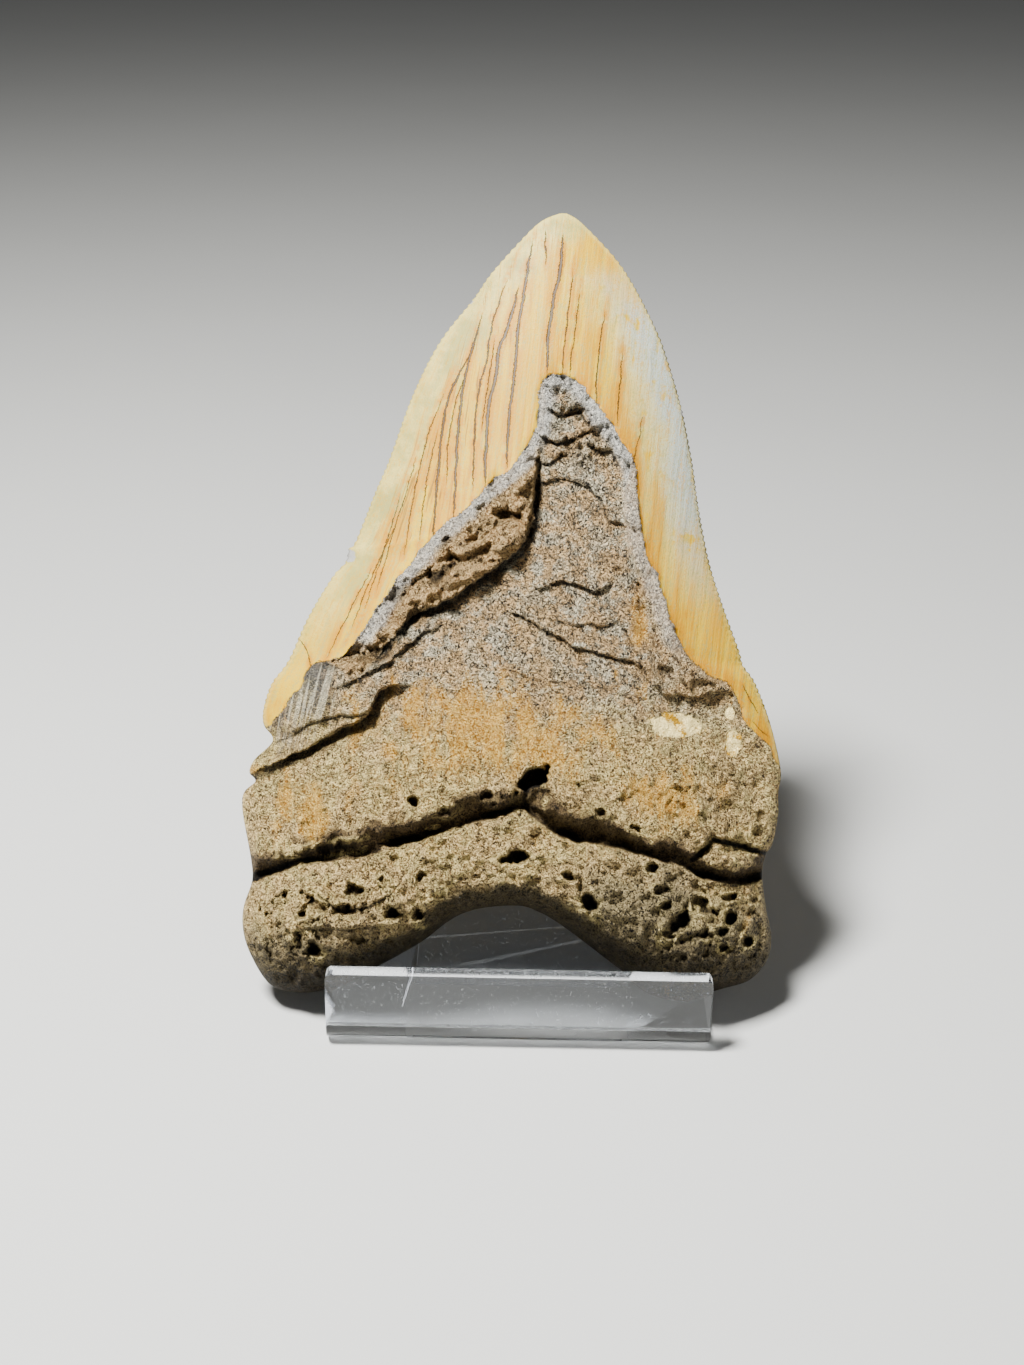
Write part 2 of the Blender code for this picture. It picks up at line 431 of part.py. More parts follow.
def make_stand(tongue_foot):
    """The sheet as a flat grid that is cut round the tongue, folded, and given its thickness."""
    bend_start = tongue_foot - BEND_RADIUS * math.tan((math.pi / 2 - LEAN) / 2)
    wall = LIP_HEIGHT - SHEET - BEND_RADIUS
    lip_arc = BEND_RADIUS * math.pi / 2
    flat_start = wall + lip_arc
    root = flat_start + bend_start - SHEET - BEND_RADIUS
    tongue_arc = BEND_RADIUS * (math.pi / 2 - LEAN)
    tongue_end = root + TONGUE_LENGTH
    sheet_end = flat_start + BASE_DEPTH - SHEET - BEND_RADIUS
    stops = [0.0]
    stops += [wall + lip_arc * i / BEND_STEPS for i in range(BEND_STEPS + 1)]
    stops += [root + tongue_arc * i / BEND_STEPS for i in range(BEND_STEPS + 1)]
    stops += [tongue_end, tongue_end + KERF, sheet_end]
    last_tongue_row = len(stops) - 3

    def columns(s):
        share = min(max((s - root) / TONGUE_LENGTH, 0), 1)
        half = (TONGUE_WIDTH + (TONGUE_TOP_WIDTH - TONGUE_WIDTH) * share) / 2
        return [-LIP_WIDTH / 2, -half - KERF, -half, half, half + KERF, LIP_WIDTH / 2]

    bm = bmesh.new()
    made = bmesh.ops.create_grid(bm, x_segments=5, y_segments=len(stops) - 1, size=1)["verts"]
    made.sort(key=lambda vert: (round(vert.co.y * 100), round(vert.co.x * 100)))
    at = {}
    for index, vert in enumerate(made):
        row, column = divmod(index, 6)
        s = stops[row]
        vert.co = (columns(s)[column], s, 0)
        at[row, column] = vert
    first_tongue_row = 1 + BEND_STEPS + 1
    kerf = []
    for face in bm.faces:
        middle = face.calc_center_median()
        half = columns(middle.y)[3]
        beside = half < abs(middle.x) < half + KERF and root < middle.y < tongue_end + KERF
        beyond = abs(middle.x) < half + KERF and tongue_end < middle.y < tongue_end + KERF
        if beside or beyond:
            kerf.append(face)
    bmesh.ops.delete(bm, geom=kerf, context="FACES")

    tongue = {at[row, column] for row in range(first_tongue_row, last_tongue_row + 1) for column in (2, 3)}
    rounded = (
        ([at[0, 0], at[0, 5]], LIP_CORNER),
        ([at[len(stops) - 1, 0], at[len(stops) - 1, 5]], BASE_CORNER),
        ([at[last_tongue_row, 2], at[last_tongue_row, 3]], TONGUE_CORNER),
    )
    for corners, radius in rounded:
        made = bmesh.ops.bevel(bm, geom=corners, offset=radius, segments=5, profile=0.5, affect="VERTICES")
        if radius == TONGUE_CORNER:
            tongue |= set(made["verts"])
    for vert in bm.verts:
        x, s, _ = vert.co
        back, up = fold(s, vert in tongue, bend_start)
        vert.co = (x, back, up)
    mesh = bpy.data.meshes.new("acrylic_stand")
    bm.to_mesh(mesh)
    bm.free()
    stand = bpy.data.objects.new("acrylic_stand", mesh)
    thick = stand.modifiers.new("Sheet", "SOLIDIFY")
    thick.thickness = SHEET
    thick.use_even_offset = True
    thick.offset = -1
    return stand


def material(name, colour, roughness, alpha=1.0):
    """A plain material of the part's own colour."""
    made = bpy.data.materials.new(name)
    made.use_nodes = True
    shader = made.node_tree.nodes["Principled BSDF"]
    shader.inputs["Base Color"].default_value = (*colour, 1)
    shader.inputs["Roughness"].default_value = roughness
    shader.inputs["Metallic"].default_value = 0
    shader.inputs["Alpha"].default_value = alpha
    return made


def chamfer_tongue(stand, tongue_foot):
    """Cuts the front edges along the tongue's two sides at a slant."""
    graph = bpy.context.evaluated_depsgraph_get()
    mesh = bpy.data.meshes.new_from_object(stand.evaluated_get(graph))
    stand.modifiers.clear()
    bm = bmesh.new()
    bm.from_mesh(mesh)
    slope = Vector((0, math.sin(LEAN), math.cos(LEAN)))
    face_out = Vector((0, -math.cos(LEAN), math.sin(LEAN)))
    foot = Vector((0, tongue_foot, SHEET))
    edges = []
    for edge in bm.edges:
        a, b = (vert.co for vert in edge.verts)
        on_face = all(abs((point - foot).dot(face_out)) < 0.02 for point in (a, b))
        run = abs((b - a).normalized().dot(slope))
        if on_face and run > 0.95 and (b - a).length > TONGUE_LENGTH / 2:
            edges.append(edge)
    bmesh.ops.bevel(bm, geom=edges, offset=TONGUE_CHAMFER, segments=1, affect="EDGES", clamp_overlap=True)
    bm.to_mesh(mesh)
    bm.free()
    stand.data = mesh


def world_box(objects):
    """Lowest and highest corner of the objects' evaluated meshes."""
    bpy.context.view_layer.update()
    graph = bpy.context.evaluated_depsgraph_get()
    corners = []
    for obj in objects:
        mesh = obj.evaluated_get(graph).to_mesh()
        found = np.empty(len(mesh.vertices) * 3, np.float32)
        mesh.vertices.foreach_get("co", found)
        corners += [found.reshape(-1, 3).min(0), found.reshape(-1, 3).max(0)]
    return np.min(corners, 0).astype(float), np.max(corners, 0).astype(float)


def main():
    for obj in list(bpy.data.objects):
        bpy.data.objects.remove(obj)
    parts = bpy.data.collections.new("tooth on stand")
    bpy.context.scene.collection.children.link(parts)

    tooth = make_tooth()
    parts.objects.link(tooth)
    tooth_low, _ = world_box([tooth])

    # The tooth's back plane passes through this point of the base's upper side.
    lift = SHEET + GAP - tooth_low[2]
    tongue_foot = TOOTH_BACK + (SHEET - lift) * math.tan(LEAN) + GAP / math.cos(LEAN)
    stand = make_stand(tongue_foot)
    parts.objects.link(stand)
    bpy.context.view_layer.update()
    chamfer_tongue(stand, tongue_foot)

    tooth.data.transform(matrix_of(-STAND_OFF_CENTRE, TOOTH_BACK, lift, 1))
    low, high = world_box([tooth, stand])
    middle = (low + high) / 2
    for obj in (tooth, stand):
        obj.data.transform(matrix_of(-middle[0], -middle[1], -low[2], 1))
        obj.data.transform(matrix_of(0, 0, 0, MM))
        obj.data.shade_smooth()
        obj.data.set_sharp_from_angle(angle=math.radians(40))
    tooth.data.materials.append(material("fossil tooth", (0.55, 0.45, 0.30), 0.5))
    stand.data.materials.append(material("clear acrylic", (0.92, 0.94, 0.97), 0.08, 0.35))


def matrix_of(x, y, z, scale):
    """A move and a scale as one matrix."""
    return Matrix.Translation((x, y, z)) @ Matrix.Scale(scale, 4)


main()
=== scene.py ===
"""A fossil shark tooth on its clear stand: the finished surfaces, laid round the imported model.

Lengths of the tooth and the stand are in millimetres up to the step that makes Blender's metres.
"""

import math

import bmesh
import bpy
import numpy as np
from bpy.props import FloatProperty, FloatVectorProperty, IntProperty, PointerProperty
from bpy.types import Operator, Panel, PropertyGroup
from mathutils import Matrix, Vector, noise


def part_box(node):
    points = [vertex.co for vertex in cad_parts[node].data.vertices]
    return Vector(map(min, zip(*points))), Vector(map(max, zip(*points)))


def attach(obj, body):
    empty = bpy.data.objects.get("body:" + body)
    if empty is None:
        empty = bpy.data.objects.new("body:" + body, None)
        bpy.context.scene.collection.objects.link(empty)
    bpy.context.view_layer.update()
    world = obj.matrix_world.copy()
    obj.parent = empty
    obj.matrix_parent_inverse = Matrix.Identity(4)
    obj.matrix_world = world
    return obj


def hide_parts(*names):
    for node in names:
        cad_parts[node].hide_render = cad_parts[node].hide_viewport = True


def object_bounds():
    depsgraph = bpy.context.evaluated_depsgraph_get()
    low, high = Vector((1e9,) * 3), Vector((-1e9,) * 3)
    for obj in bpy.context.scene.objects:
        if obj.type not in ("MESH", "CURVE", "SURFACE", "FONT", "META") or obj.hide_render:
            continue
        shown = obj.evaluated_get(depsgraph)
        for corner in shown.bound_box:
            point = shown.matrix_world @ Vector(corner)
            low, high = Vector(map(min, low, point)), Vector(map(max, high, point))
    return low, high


bl_info = {
    "name": "Fossil tooth on a clear stand",
    "version": (1, 0, 0),
    "blender": (4, 5, 0),
    "location": "3D View > Sidebar > Tooth",
    "description": "Builds a fossil tooth with its bent acrylic stand and a plain stage",
    "category": "Add Mesh",
}

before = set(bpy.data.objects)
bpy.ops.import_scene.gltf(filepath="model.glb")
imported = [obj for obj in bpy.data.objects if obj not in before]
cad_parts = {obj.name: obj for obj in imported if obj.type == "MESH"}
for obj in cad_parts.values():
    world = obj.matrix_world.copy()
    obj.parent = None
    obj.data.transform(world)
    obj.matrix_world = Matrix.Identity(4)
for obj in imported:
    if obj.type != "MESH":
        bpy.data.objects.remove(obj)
CAD_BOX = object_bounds()

MM = 0.001

# The tooth as a whole. Its face is seen from EYE_DISTANCE, and its relief rises towards that eye.
LEAN = math.radians(25)
EYE_DISTANCE = 390.0
EYE_HEIGHT = 60.5
RIM_DEPTH = 8.0
TURN = math.radians(1.1)
TOOTH_BACK = 20.3

# The millimetres that one pixel of the photo covers at the tooth's rim, and the photo's height in pixels.
PHOTO_SCALE = 0.195
PHOTO_TALL = 1365

# The stand: one 3 mm sheet with a front lip, a flat base and a tongue bent up from the base.
SHEET = 3.0
BEND_RADIUS = 2.0
LIP_HEIGHT = 16.2
LIP_WIDTH = 72.7
LIP_CORNER = 1.2
BASE_DEPTH = 100.0
BASE_CORNER = 4.0
TONGUE_WIDTH = 41.0
TONGUE_TOP_WIDTH = 30.0
TONGUE_LENGTH = 70.0
TONGUE_CORNER = 6.0
TONGUE_CHAMFER = 2.4
KERF = 1.2
STAND_OFF_CENTRE = 1.25
LIP_WALL = LIP_HEIGHT - SHEET - BEND_RADIUS
LIP_ARC = BEND_RADIUS * math.pi / 2
TONGUE_TURN = math.pi / 2 - LEAN

# The gap that the tooth keeps from the sheet where it rests.
GAP = 0.3

# How strongly acrylic bends light.
ACRYLIC_IOR = 1.49

# Wear of the lip's face: the chipped left edge, and a scratch that leans to the right.
WORN_EDGE_UP = 8.2
SCRATCH_AT = 14.4
SCRATCH_LOW = 9.2
SCRATCH_SLOPE = 0.28

# The stage in metres: each light's size and place, the point that both face, and the camera's sensor.
KEY_SIZE = 0.14
KEY_PLACE = (-0.21, -0.15, 0.62)
FILL_SIZE = 0.60
FILL_PLACE = (0.45, -0.55, 0.35)
LIGHT_AIM = (0, 0, 0.06)
SKY_COLOUR = (0.95, 0.97, 1.0, 1.0)
FLOOR_SIZE = 6.0
SENSOR_HEIGHT = 24.0

# The saw teeth of the crown's two cutting edges, and the heights where they start and end.
SERRATION_PITCH = 1.1
SERRATION_DEPTH = 0.32
SERRATION_START = (50, 60)
SERRATION_END = (146, 151)

# The tooth's outline, as (right of the middle, above the foot), from each lobe's lowest point to the tip.
LEFT_SIDE = [
    (-40.5, 0.0), (-45.0, 0.5), (-48.2, 2.7), (-51.3, 8.2), (-52.5, 12.7), (-52.3, 17.0),
    (-50.7, 21.8), (-50.9, 26.1), (-52.5, 35.1), (-52.3, 39.0), (-50.0, 41.3), (-51.2, 43.0),
    (-50.2, 45.5), (-46.6, 49.2), (-48.4, 52.2), (-48.5, 55.5), (-47.0, 60.3), (-43.7, 64.8),
    (-40.0, 73.0), (-35.2, 81.0), (-32.6, 83.9), (-31.9, 86.6), (-30.6, 88.0), (-26.9, 97.3),
    (-24.0, 104.1), (-19.7, 116.0), (-14.4, 126.6), (-7.6, 135.3), (-3.7, 140.8), (4.6, 149.6),
    (9.4, 152.0),
]
RIGHT_SIDE = [
    (34.0, -1.2), (41.5, 0.9), (46.0, 2.3), (48.8, 4.9), (50.3, 7.8), (50.5, 11.7), (49.5, 16.8),
    (48.8, 22.8), (49.4, 26.7), (50.8, 29.1), (51.9, 34.7), (51.9, 39.0), (52.4, 43.5),
    (50.3, 52.8), (47.6, 60.3), (45.2, 63.8), (44.4, 66.7), (41.3, 75.3), (38.6, 83.9),
    (36.5, 94.6), (35.3, 103.2), (33.2, 113.9), (30.6, 122.9), (28.5, 128.7), (24.2, 137.3),
    (19.9, 143.7), (13.5, 150.2), (10.6, 152.0),
]
FOOT = [
    (-40.5, 0.0), (-36.3, 0.6), (-30.5, 3.0), (-24.8, 5.9), (-17.7, 9.9), (-11.7, 14.4),
    (-6.4, 16.4), (1.0, 17.0), (4.9, 15.9), (8.4, 14.0), (12.1, 11.4), (16.8, 7.8), (21.0, 4.6),
    (27.0, 0.2), (34.0, -1.2),
]

# Distances from the plane that the back lies on: of the front's middle, the rim and the back's middle, at
# shares of the height from the arch (0) to the tip (1).
STATIONS = [0.0, 0.05, 0.12, 0.2, 0.3, 0.45, 0.6, 0.75, 0.9, 1.0]
FRONT_DEPTHS = [27.0, 28.5, 29.5, 28.0, 25.0, 21.0, 16.5, 12.2, 7.2, 4.4]
RIM_DEPTHS = [8.0, 8.0, 8.0, 8.0, 7.6, 6.6, 5.4, 4.4, 3.6, 3.0]
BACK_DEPTHS = [1.5, 0.8, 0.2, 0.0, 0.0, 0.0, 0.0, 0.0, 0.6, 1.6]

# How the foot and the tip round off, where the root's fullness turns into the crown's, how much of the
# fullness the relief needs to rise, and how the rows of faces crowd towards the foot.
FOOT_ROUNDING = 0.10
TIP_SHARPNESS = 24
CROWN_SHARE = (0.16, 0.38)
RIM_SHARE = (0.0, 0.45)
ROWS_LOW = 1.15

# The step down from the enamel, and how far the dentine sinks behind it, over what distance.
ENAMEL_STEP = 0.9
DENTINE_DROP = 1.6
DENTINE_SLOPE = 5.0

# Heights of the face's steps, and the roughness of each surface.
FOOT_HOLLOW = 1.3
RIDGE_FOOT_REACH = 2.8
SLAB_FOOT_REACH = 3.2
RIDGE_LIP = 0.9
RIDGE_RISE = 1.9
RIDGE_LUMPS = 1.4
RIDGE_ROUGHNESS = 0.8
RIDGE_GRIT = 0.6
SLAB_RISE = 2.7
SLAB_FIBRES = 0.4
RIGHT_RISE = 1.6
RIGHT_FIBRES = 0.45
APEX_BLOCKS = 1.1
APEX_GRIT = 0.5
DENTINE_ROUGHNESS = 0.5
DENTINE_GRIT = 0.22
ROOT_ROUGHNESS = 1.0
ROOT_GRIT = 0.75
ALL_GRIT = 0.14
HOLE_RIM = 0.35
LOBE_PITS = 1.1
BACK_STEP = 1.0
BACK_PITS = 0.9

# Where one surface gives way to the next, as heights above the foot, and as distances to the right.
ROOT_TOP = (38, 48)
RIDGE_FOOT = (60, 64)
RIDGE_FADES = (100, 110)
RIDGE_END = (6.5, 8.5)
SLAB_END = (-26, -17)
RIGHT_LEDGE_START = (18, 24)
RIGHT_LEDGE_FOOT = (52, 58)
APEX_FOOT = (98, 104)
BACK_ROOT_TOP = 44
BACK_ROOT_ARCH = 8
BACK_ROOT_WIDTH = 104

# Lines on the face: the broken edge of the enamel, then the cliffs below it.
ENAMEL_EDGE = [
    (-52.0, 48.5), (-48.0, 51.3), (-45.4, 54.4), (-41.1, 60.3), (-39.0, 64.2), (-33.5, 65.7),
    (-29.3, 70.0), (-24.0, 78.6), (-18.7, 85.0), (-13.3, 91.3), (-9.0, 94.6), (-4.7, 98.9),
    (0.6, 103.2), (4.3, 109.6), (6.0, 119.1), (10.3, 120.5), (14.4, 117.6), (18.7, 112.1),
    (21.5, 107.4), (24.2, 103.2), (24.8, 94.6), (26.3, 86.0), (28.9, 79.6), (31.6, 71.0),
    (33.7, 66.7), (38.0, 62.4), (42.9, 59.9), (45.4, 52.8), (49.3, 49.1), (51.5, 45.0),
    (54.5, 41.5),
]
RIDGE_CLIFF = [
    (-37.0, 66.5), (-34.7, 63.6), (-30.4, 61.4), (-26.1, 65.1), (-24.0, 68.8), (-18.7, 73.7),
    (-12.3, 76.4), (-8.0, 79.6), (-2.5, 83.3), (3.3, 89.1), (4.3, 94.6), (4.9, 101.0),
    (6.0, 109.6), (6.6, 120.0),
]
SLAB_CLIFF = [
    (-53.0, 42.0), (-50.7, 42.7), (-41.1, 47.0), (-33.5, 51.3), (-28.3, 54.0), (-26.7, 57.7),
    (-25.0, 59.3), (-18.1, 60.3),
]
RIGHT_CLIFF = [
    (23.5, 104.0), (21.6, 96.0), (23.0, 86.5), (24.6, 79.0), (26.6, 71.0), (26.0, 65.0),
    (29.6, 58.4), (36.5, 57.4), (43.2, 58.6), (45.0, 54.0),
]

# The long crack of the root. Its lower lip is steep, and its upper side slopes in under a brow.
ROOT_CRACK = [
    (-52.5, 21.4), (-48.9, 22.6), (-44.5, 24.4), (-41.1, 25.7), (-36.2, 26.2), (-29.0, 27.1),
    (-26.1, 28.0), (-20.7, 29.5), (-14.6, 31.6), (-8.8, 33.4), (-4.5, 34.5), (-0.5, 35.4),
    (2.3, 36.4), (4.2, 34.5), (8.5, 31.6), (12.8, 29.8), (19.3, 29.0), (22.9, 28.0), (28.7, 26.2),
    (32.3, 25.6), (35.9, 23.0), (40.2, 22.2), (44.5, 21.5), (48.1, 22.2), (51.5, 23.2),
]
CRACK_DEPTH = 4.0
BROW_REACH = 3.3
BROW_HEIGHT = 1.7
BROW_FALL = 11.0

# Narrow cracks, each with its half width and its depth.
NARROW_CRACKS = [
    ([(35.0, 26.0), (37.7, 28.0), (39.1, 30.0), (42.7, 29.1), (47.1, 27.9), (51.0, 27.0)], 0.6, 2.2),
    ([(3.2, 40.0), (2.6, 37.8), (2.3, 36.4)], 0.7, 1.8),
    ([(-26.1, 28.3), (-22.0, 24.6), (-20.5, 21.0)], 0.3, 0.5),
    ([(-47.0, 36.2), (-43.0, 36.6), (-39.6, 36.4), (-38.8, 33.4)], 0.25, 0.5),
    ([(-2.0, 63.0), (6.0, 60.5), (15.0, 60.0), (22.0, 57.5)], 0.3, 0.4),
    ([(5.3, 104.0), (4.9, 100.0), (4.0, 93.0), (3.0, 89.4)], 0.5, 1.4),
]

# Broken lips with the high side on the left of the line, their height, and how far they run back.
LEDGES = [
    ([(5.8, 99.3), (8.0, 99.9), (10.4, 100.0), (14.8, 98.7), (17.8, 95.2), (19.1, 92.2),
      (21.2, 91.3)], 0.9, 6.0),
    ([(6.2, 108.4), (8.6, 107.2), (11.2, 107.8), (14.4, 109.2)], 1.2, 3.5),
    ([(8.0, 113.6), (10.2, 112.6), (13.2, 112.9), (15.0, 111.2)], 1.2, 3.0),
    ([(5.2, 103.8), (7.3, 103.0), (9.2, 104.6)], 1.2, 2.6),
    ([(15.0, 107.0), (17.2, 105.4), (19.6, 105.6), (21.0, 103.0)], 0.9, 3.0),
    ([(7.8, 79.5), (10.4, 79.9), (13.9, 78.8), (15.7, 77.8), (16.8, 78.2)], 1.2, 5.0),
    ([(1.0, 73.9), (6.5, 73.0), (12.0, 71.9), (17.0, 71.4), (19.0, 71.9)], 0.7, 4.0),
    ([(1.0, 73.7), (6.5, 70.6), (12.3, 67.5), (18.0, 65.8), (23.6, 64.2)], 1.0, 4.0),
    ([(21.6, 72.0), (24.4, 66.0), (27.0, 60.4)], 0.8, 3.0),
    ([(-31.4, 60.7), (-26.9, 62.6), (-23.3, 64.9), (-20.7, 67.5), (-16.2, 70.4)], 1.3, 5.0),
    ([(-46.0, 48.8), (-42.1, 50.7), (-38.8, 52.9), (-32.4, 53.9), (-29.1, 54.6)], 0.9, 4.0),
    ([(-37.5, 19.0), (-33.0, 16.0), (-29.0, 16.4), (-25.0, 18.6)], 1.0, 3.0),
    ([(-44.0, 11.5), (-39.0, 12.5), (-33.0, 12.2), (-27.0, 13.0)], 0.8, 3.0),
]

# Holes and hollows as (right, up, half width, half height, depth, turn in degrees).
HOLES = [
    (3.5, 41.2, 3.7, 1.7, 5.5, 33), (0.2, 26.2, 2.2, 1.0, 3.0, 5), (-19.3, 37.4, 0.8, 1.0, 1.8, 0),
    (27.4, 24.4, 0.9, 0.7, 1.6, 0), (-23.6, 15.8, 1.3, 1.7, 2.6, 15), (-18.2, 15.0, 1.0, 1.4, 2.2, 10),
    (-38.6, 8.4, 1.0, 1.4, 2.2, 20), (-40.6, 15.2, 0.9, 0.7, 1.5, 0), (-44.2, 19.2, 0.6, 1.0, 1.4, 0),
    (-30.5, 20.1, 1.6, 1.1, 1.8, -10), (-25.1, 21.9, 1.2, 0.6, 1.3, -15), (-17.8, 22.8, 0.9, 0.6, 1.3, 60),
    (-33.0, 16.3, 1.9, 1.2, 1.7, 0), (-38.5, 17.6, 2.4, 0.9, 1.4, -35), (-41.5, 10.6, 1.0, 0.9, 1.4, 0),
    (-49.0, 16.1, 0.6, 0.8, 1.0, 0), (10.6, 22.6, 1.3, 0.8, 1.6, -20), (15.0, 17.8, 1.3, 1.8, 2.6, 25),
    (13.5, 20.3, 0.7, 1.5, 1.3, 0), (29.0, 20.1, 1.0, 0.8, 1.4, 0), (32.0, 13.0, 2.6, 1.4, 2.4, 42),
    (30.1, 16.8, 1.0, 0.8, 1.4, 0), (36.6, 17.8, 1.5, 0.8, 1.6, -20), (38.4, 15.8, 1.6, 0.8, 1.8, -10),
    (42.7, 14.3, 1.0, 1.0, 2.4, 0), (42.7, 18.6, 1.3, 0.6, 1.4, 10), (37.7, 11.4, 1.6, 1.0, 2.0, 0),
    (40.9, 11.8, 1.1, 0.8, 1.8, 20), (46.0, 10.0, 1.0, 1.2, 2.0, 0), (41.3, 8.9, 0.9, 0.7, 1.4, 0),
    (47.3, 17.9, 0.9, 0.7, 1.2, 0), (48.6, 34.6, 0.7, 1.3, 1.2, 0), (48.4, 31.6, 1.2, 0.9, 1.2, 0),
    (17.5, 35.2, 1.4, 0.9, 1.6, -15), (24.2, 32.0, 1.2, 0.7, 1.2, -15), (-35.5, 28.0, 5.0, 1.0, 1.9, 10),
    (-13.0, 35.2, 1.6, 0.8, 1.4, 15), (-5.0, 38.4, 1.2, 0.8, 1.4, 0), (-31.0, 33.2, 0.9, 0.6, 1.0, 0),
    (-0.4, 93.0, 2.6, 0.9, 1.6, -10), (-13.9, 81.7, 3.8, 1.7, 1.9, 35), (-12.2, 88.2, 1.6, 0.8, 1.4, 20),
    (-22.2, 77.3, 3.6, 1.8, 1.3, 40), (-20.0, 73.6, 3.0, 1.2, 1.4, 30), (-26.8, 66.0, 4.2, 1.6, 1.4, 25),
    (-6.0, 86.2, 2.5, 0.9, 1.4, 35), (-31.5, 66.5, 2.2, 1.3, 1.1, 20), (-3.4, 98.0, 1.2, 2.4, 0.8, 0),
    (11.7, 113.2, 2.6, 0.8, 1.2, 5), (-35.6, 63.4, 1.4, 0.8, 1.2, 0), (25.2, 75.6, 0.7, 3.0, 1.0, 5),
    (20.4, 82.0, 1.2, 1.0, 0.7, 0), (31.0, 62.0, 2.4, 0.9, 1.0, -35), (37.5, 60.2, 2.0, 0.8, 1.0, -10),
]

# Loose lumps, in the same order as the holes.
LUMPS = [
    (36.8, 29.6, 1.9, 1.4, 1.3, 0), (41.5, 25.4, 4.6, 1.5, 1.5, -6), (-46.4, 44.2, 4.0, 1.5, 1.3, 14),
    (-24.9, 28.3, 0.9, 0.7, 1.3, 0), (-15.2, 32.3, 1.5, 0.5, 1.1, 12), (-12.0, 36.4, 1.2, 0.8, 0.6, 0),
    (0.9, 39.2, 1.6, 1.0, 0.9, 0), (18.9, 81.5, 1.2, 1.0, 0.6, 0), (-1.0, 88.8, 3.4, 2.2, 1.4, 60),
    (-9.8, 81.6, 4.2, 1.8, 1.2, 30), (-17.6, 78.0, 2.6, 1.6, 1.0, 35), (-33.0, 63.2, 2.0, 1.4, 0.9, 20),
    (-22.8, 70.4, 2.6, 2.6, 1.2, 0), (33.6, 61.2, 2.4, 1.2, 1.0, -20), (11.0, 115.4, 2.4, 1.0, 0.9, 0),
]


def smooth_line(points, steps=5):
    """Catmull-Rom curve through the points, with a number of steps between two of them."""
    p = np.array([points[0], *points, points[-1]], float)
    t = np.linspace(0, 1, steps, endpoint=False)[:, None]
    runs = []
    for a, b, c, d in zip(p[:-3], p[1:-2], p[2:-1], p[3:]):
        runs.append(0.5 * (2 * b + (c - a) * t + (2 * a - 5 * b + 4 * c - d) * t**2
                           + (3 * b - a - 3 * c + d) * t**3))
    return np.vstack([*runs, p[-1:]])


def along(points, share):
    """Points at shares of the length of the smooth curve through the points."""
    line = smooth_line(points)
    reach = np.append(0, np.cumsum(np.hypot(*np.diff(line, axis=0).T)))
    return np.stack([np.interp(share * reach[-1], reach, line[:, i]) for i in (0, 1)], -1)


def offset_from(points, x, w):
    """Signed distance to the smooth curve: positive on the left of its direction."""
    line = smooth_line(points, 3)
    found = np.empty(x.size)
    flat = np.stack([x.ravel(), w.ravel()], -1)
    start, step = line[:-1], np.diff(line, axis=0)
    length = (step**2).sum(1)
    for first in range(0, len(flat), 20000):
        gap = flat[first:first + 20000, None] - start
        share = np.clip((gap * step).sum(-1) / length, 0, 1)
        away = gap - share[..., None] * step
        near = (away**2).sum(-1)
        best = near.argmin(1)
        rows = np.arange(len(best))
        side = step[best, 0] * away[rows, best, 1] - step[best, 1] * away[rows, best, 0]
        found[first:first + 20000] = np.copysign(np.sqrt(near[rows, best]), side)
    return found.reshape(x.shape)


def rise(value, low, high):
    """Smooth step from 0 at low to 1 at high."""
    t = np.clip((value - low) / (high - low), 0, 1)
    return t * t * (3 - 2 * t)


def grain(x, w, size, seed, octaves=4, stretch=1.0, turn=0.0):
    """Fractal noise of about -1 to 1, with features of that size, longer along its turned x by stretch."""
    across = (x * math.cos(turn) + w * math.sin(turn)) / (size * stretch)
    up = (w * math.cos(turn) - x * math.sin(turn)) / size
    places = zip(across.ravel(), up.ravel())
    found = [noise.fractal(Vector((a, b, seed)), 0.8, 2.1, octaves) for a, b in places]
    return np.array(found).reshape(x.shape)


def carve(x, w, cracks, wander):
    """Depth that the narrow cracks take out, with walls that wander by the given noise."""
    taken = np.zeros_like(x)
    for points, half_width, depth in cracks:
        away = np.abs(offset_from(points, x, w) + 0.8 * half_width * wander)
        taken = np.maximum(taken, depth * (1 - rise(away, 0.35 * half_width, 1.5 * half_width)))
    return taken


def spots(places, x, w, wander):
    """The strength of the nearest of the round or long spots, full in its middle, and the rim round it."""
    full, rim = np.zeros_like(x), np.zeros_like(x)
    for right, up, half_width, half_height, depth, turn in places:
        c, s = math.cos(math.radians(turn)), math.sin(math.radians(turn))
        across, rest = x - right, w - up
        reach = np.hypot((across * c + rest * s) / half_width, (rest * c - across * s) / half_height)
        reach = 0.87 * reach + 0.38 * wander
        full = np.maximum(full, depth * (1 - rise(reach, 0.45, 1.2)))
        rim = np.maximum(rim, rise(reach, 0.7, 1.3) * (1 - rise(reach, 1.3, 2.1)))
    return full, rim


def undercut(x, w, wander):
    """What the root's long crack takes out, the brow that bulges above it, and the band under the brow
    where its shade is painted.
    """
    away = offset_from(ROOT_CRACK, x, w) + 0.45 * wander
    reach = BROW_REACH * np.maximum(1 + 0.7 * grain(x, w, 9.0, 11.5, 2) + 0.6 * wander, 0.3)
    lower = 0.8 + 0.6 * grain(x, w, 7.0, 13.5, 2)
    shape = np.where(away > 0, 1 - rise(away, 0.2, reach), 1 - rise(-away, 0.0, np.maximum(lower, 0.4)))
    shape *= np.clip(0.85 + 0.5 * grain(x, w, 11.0, 17.5, 3), 0.5, 1.0)
    brow = rise(away, 0.4 * reach, reach) * (1 - rise(away, reach, reach + BROW_FALL))
    # The band under the brow where its shade is painted.
    under = (1 - rise(away, 0.5 * reach, 1.7 * reach)) * rise(away, -0.8, 0.0)
    return CRACK_DEPTH * shape, BROW_HEIGHT * brow, under


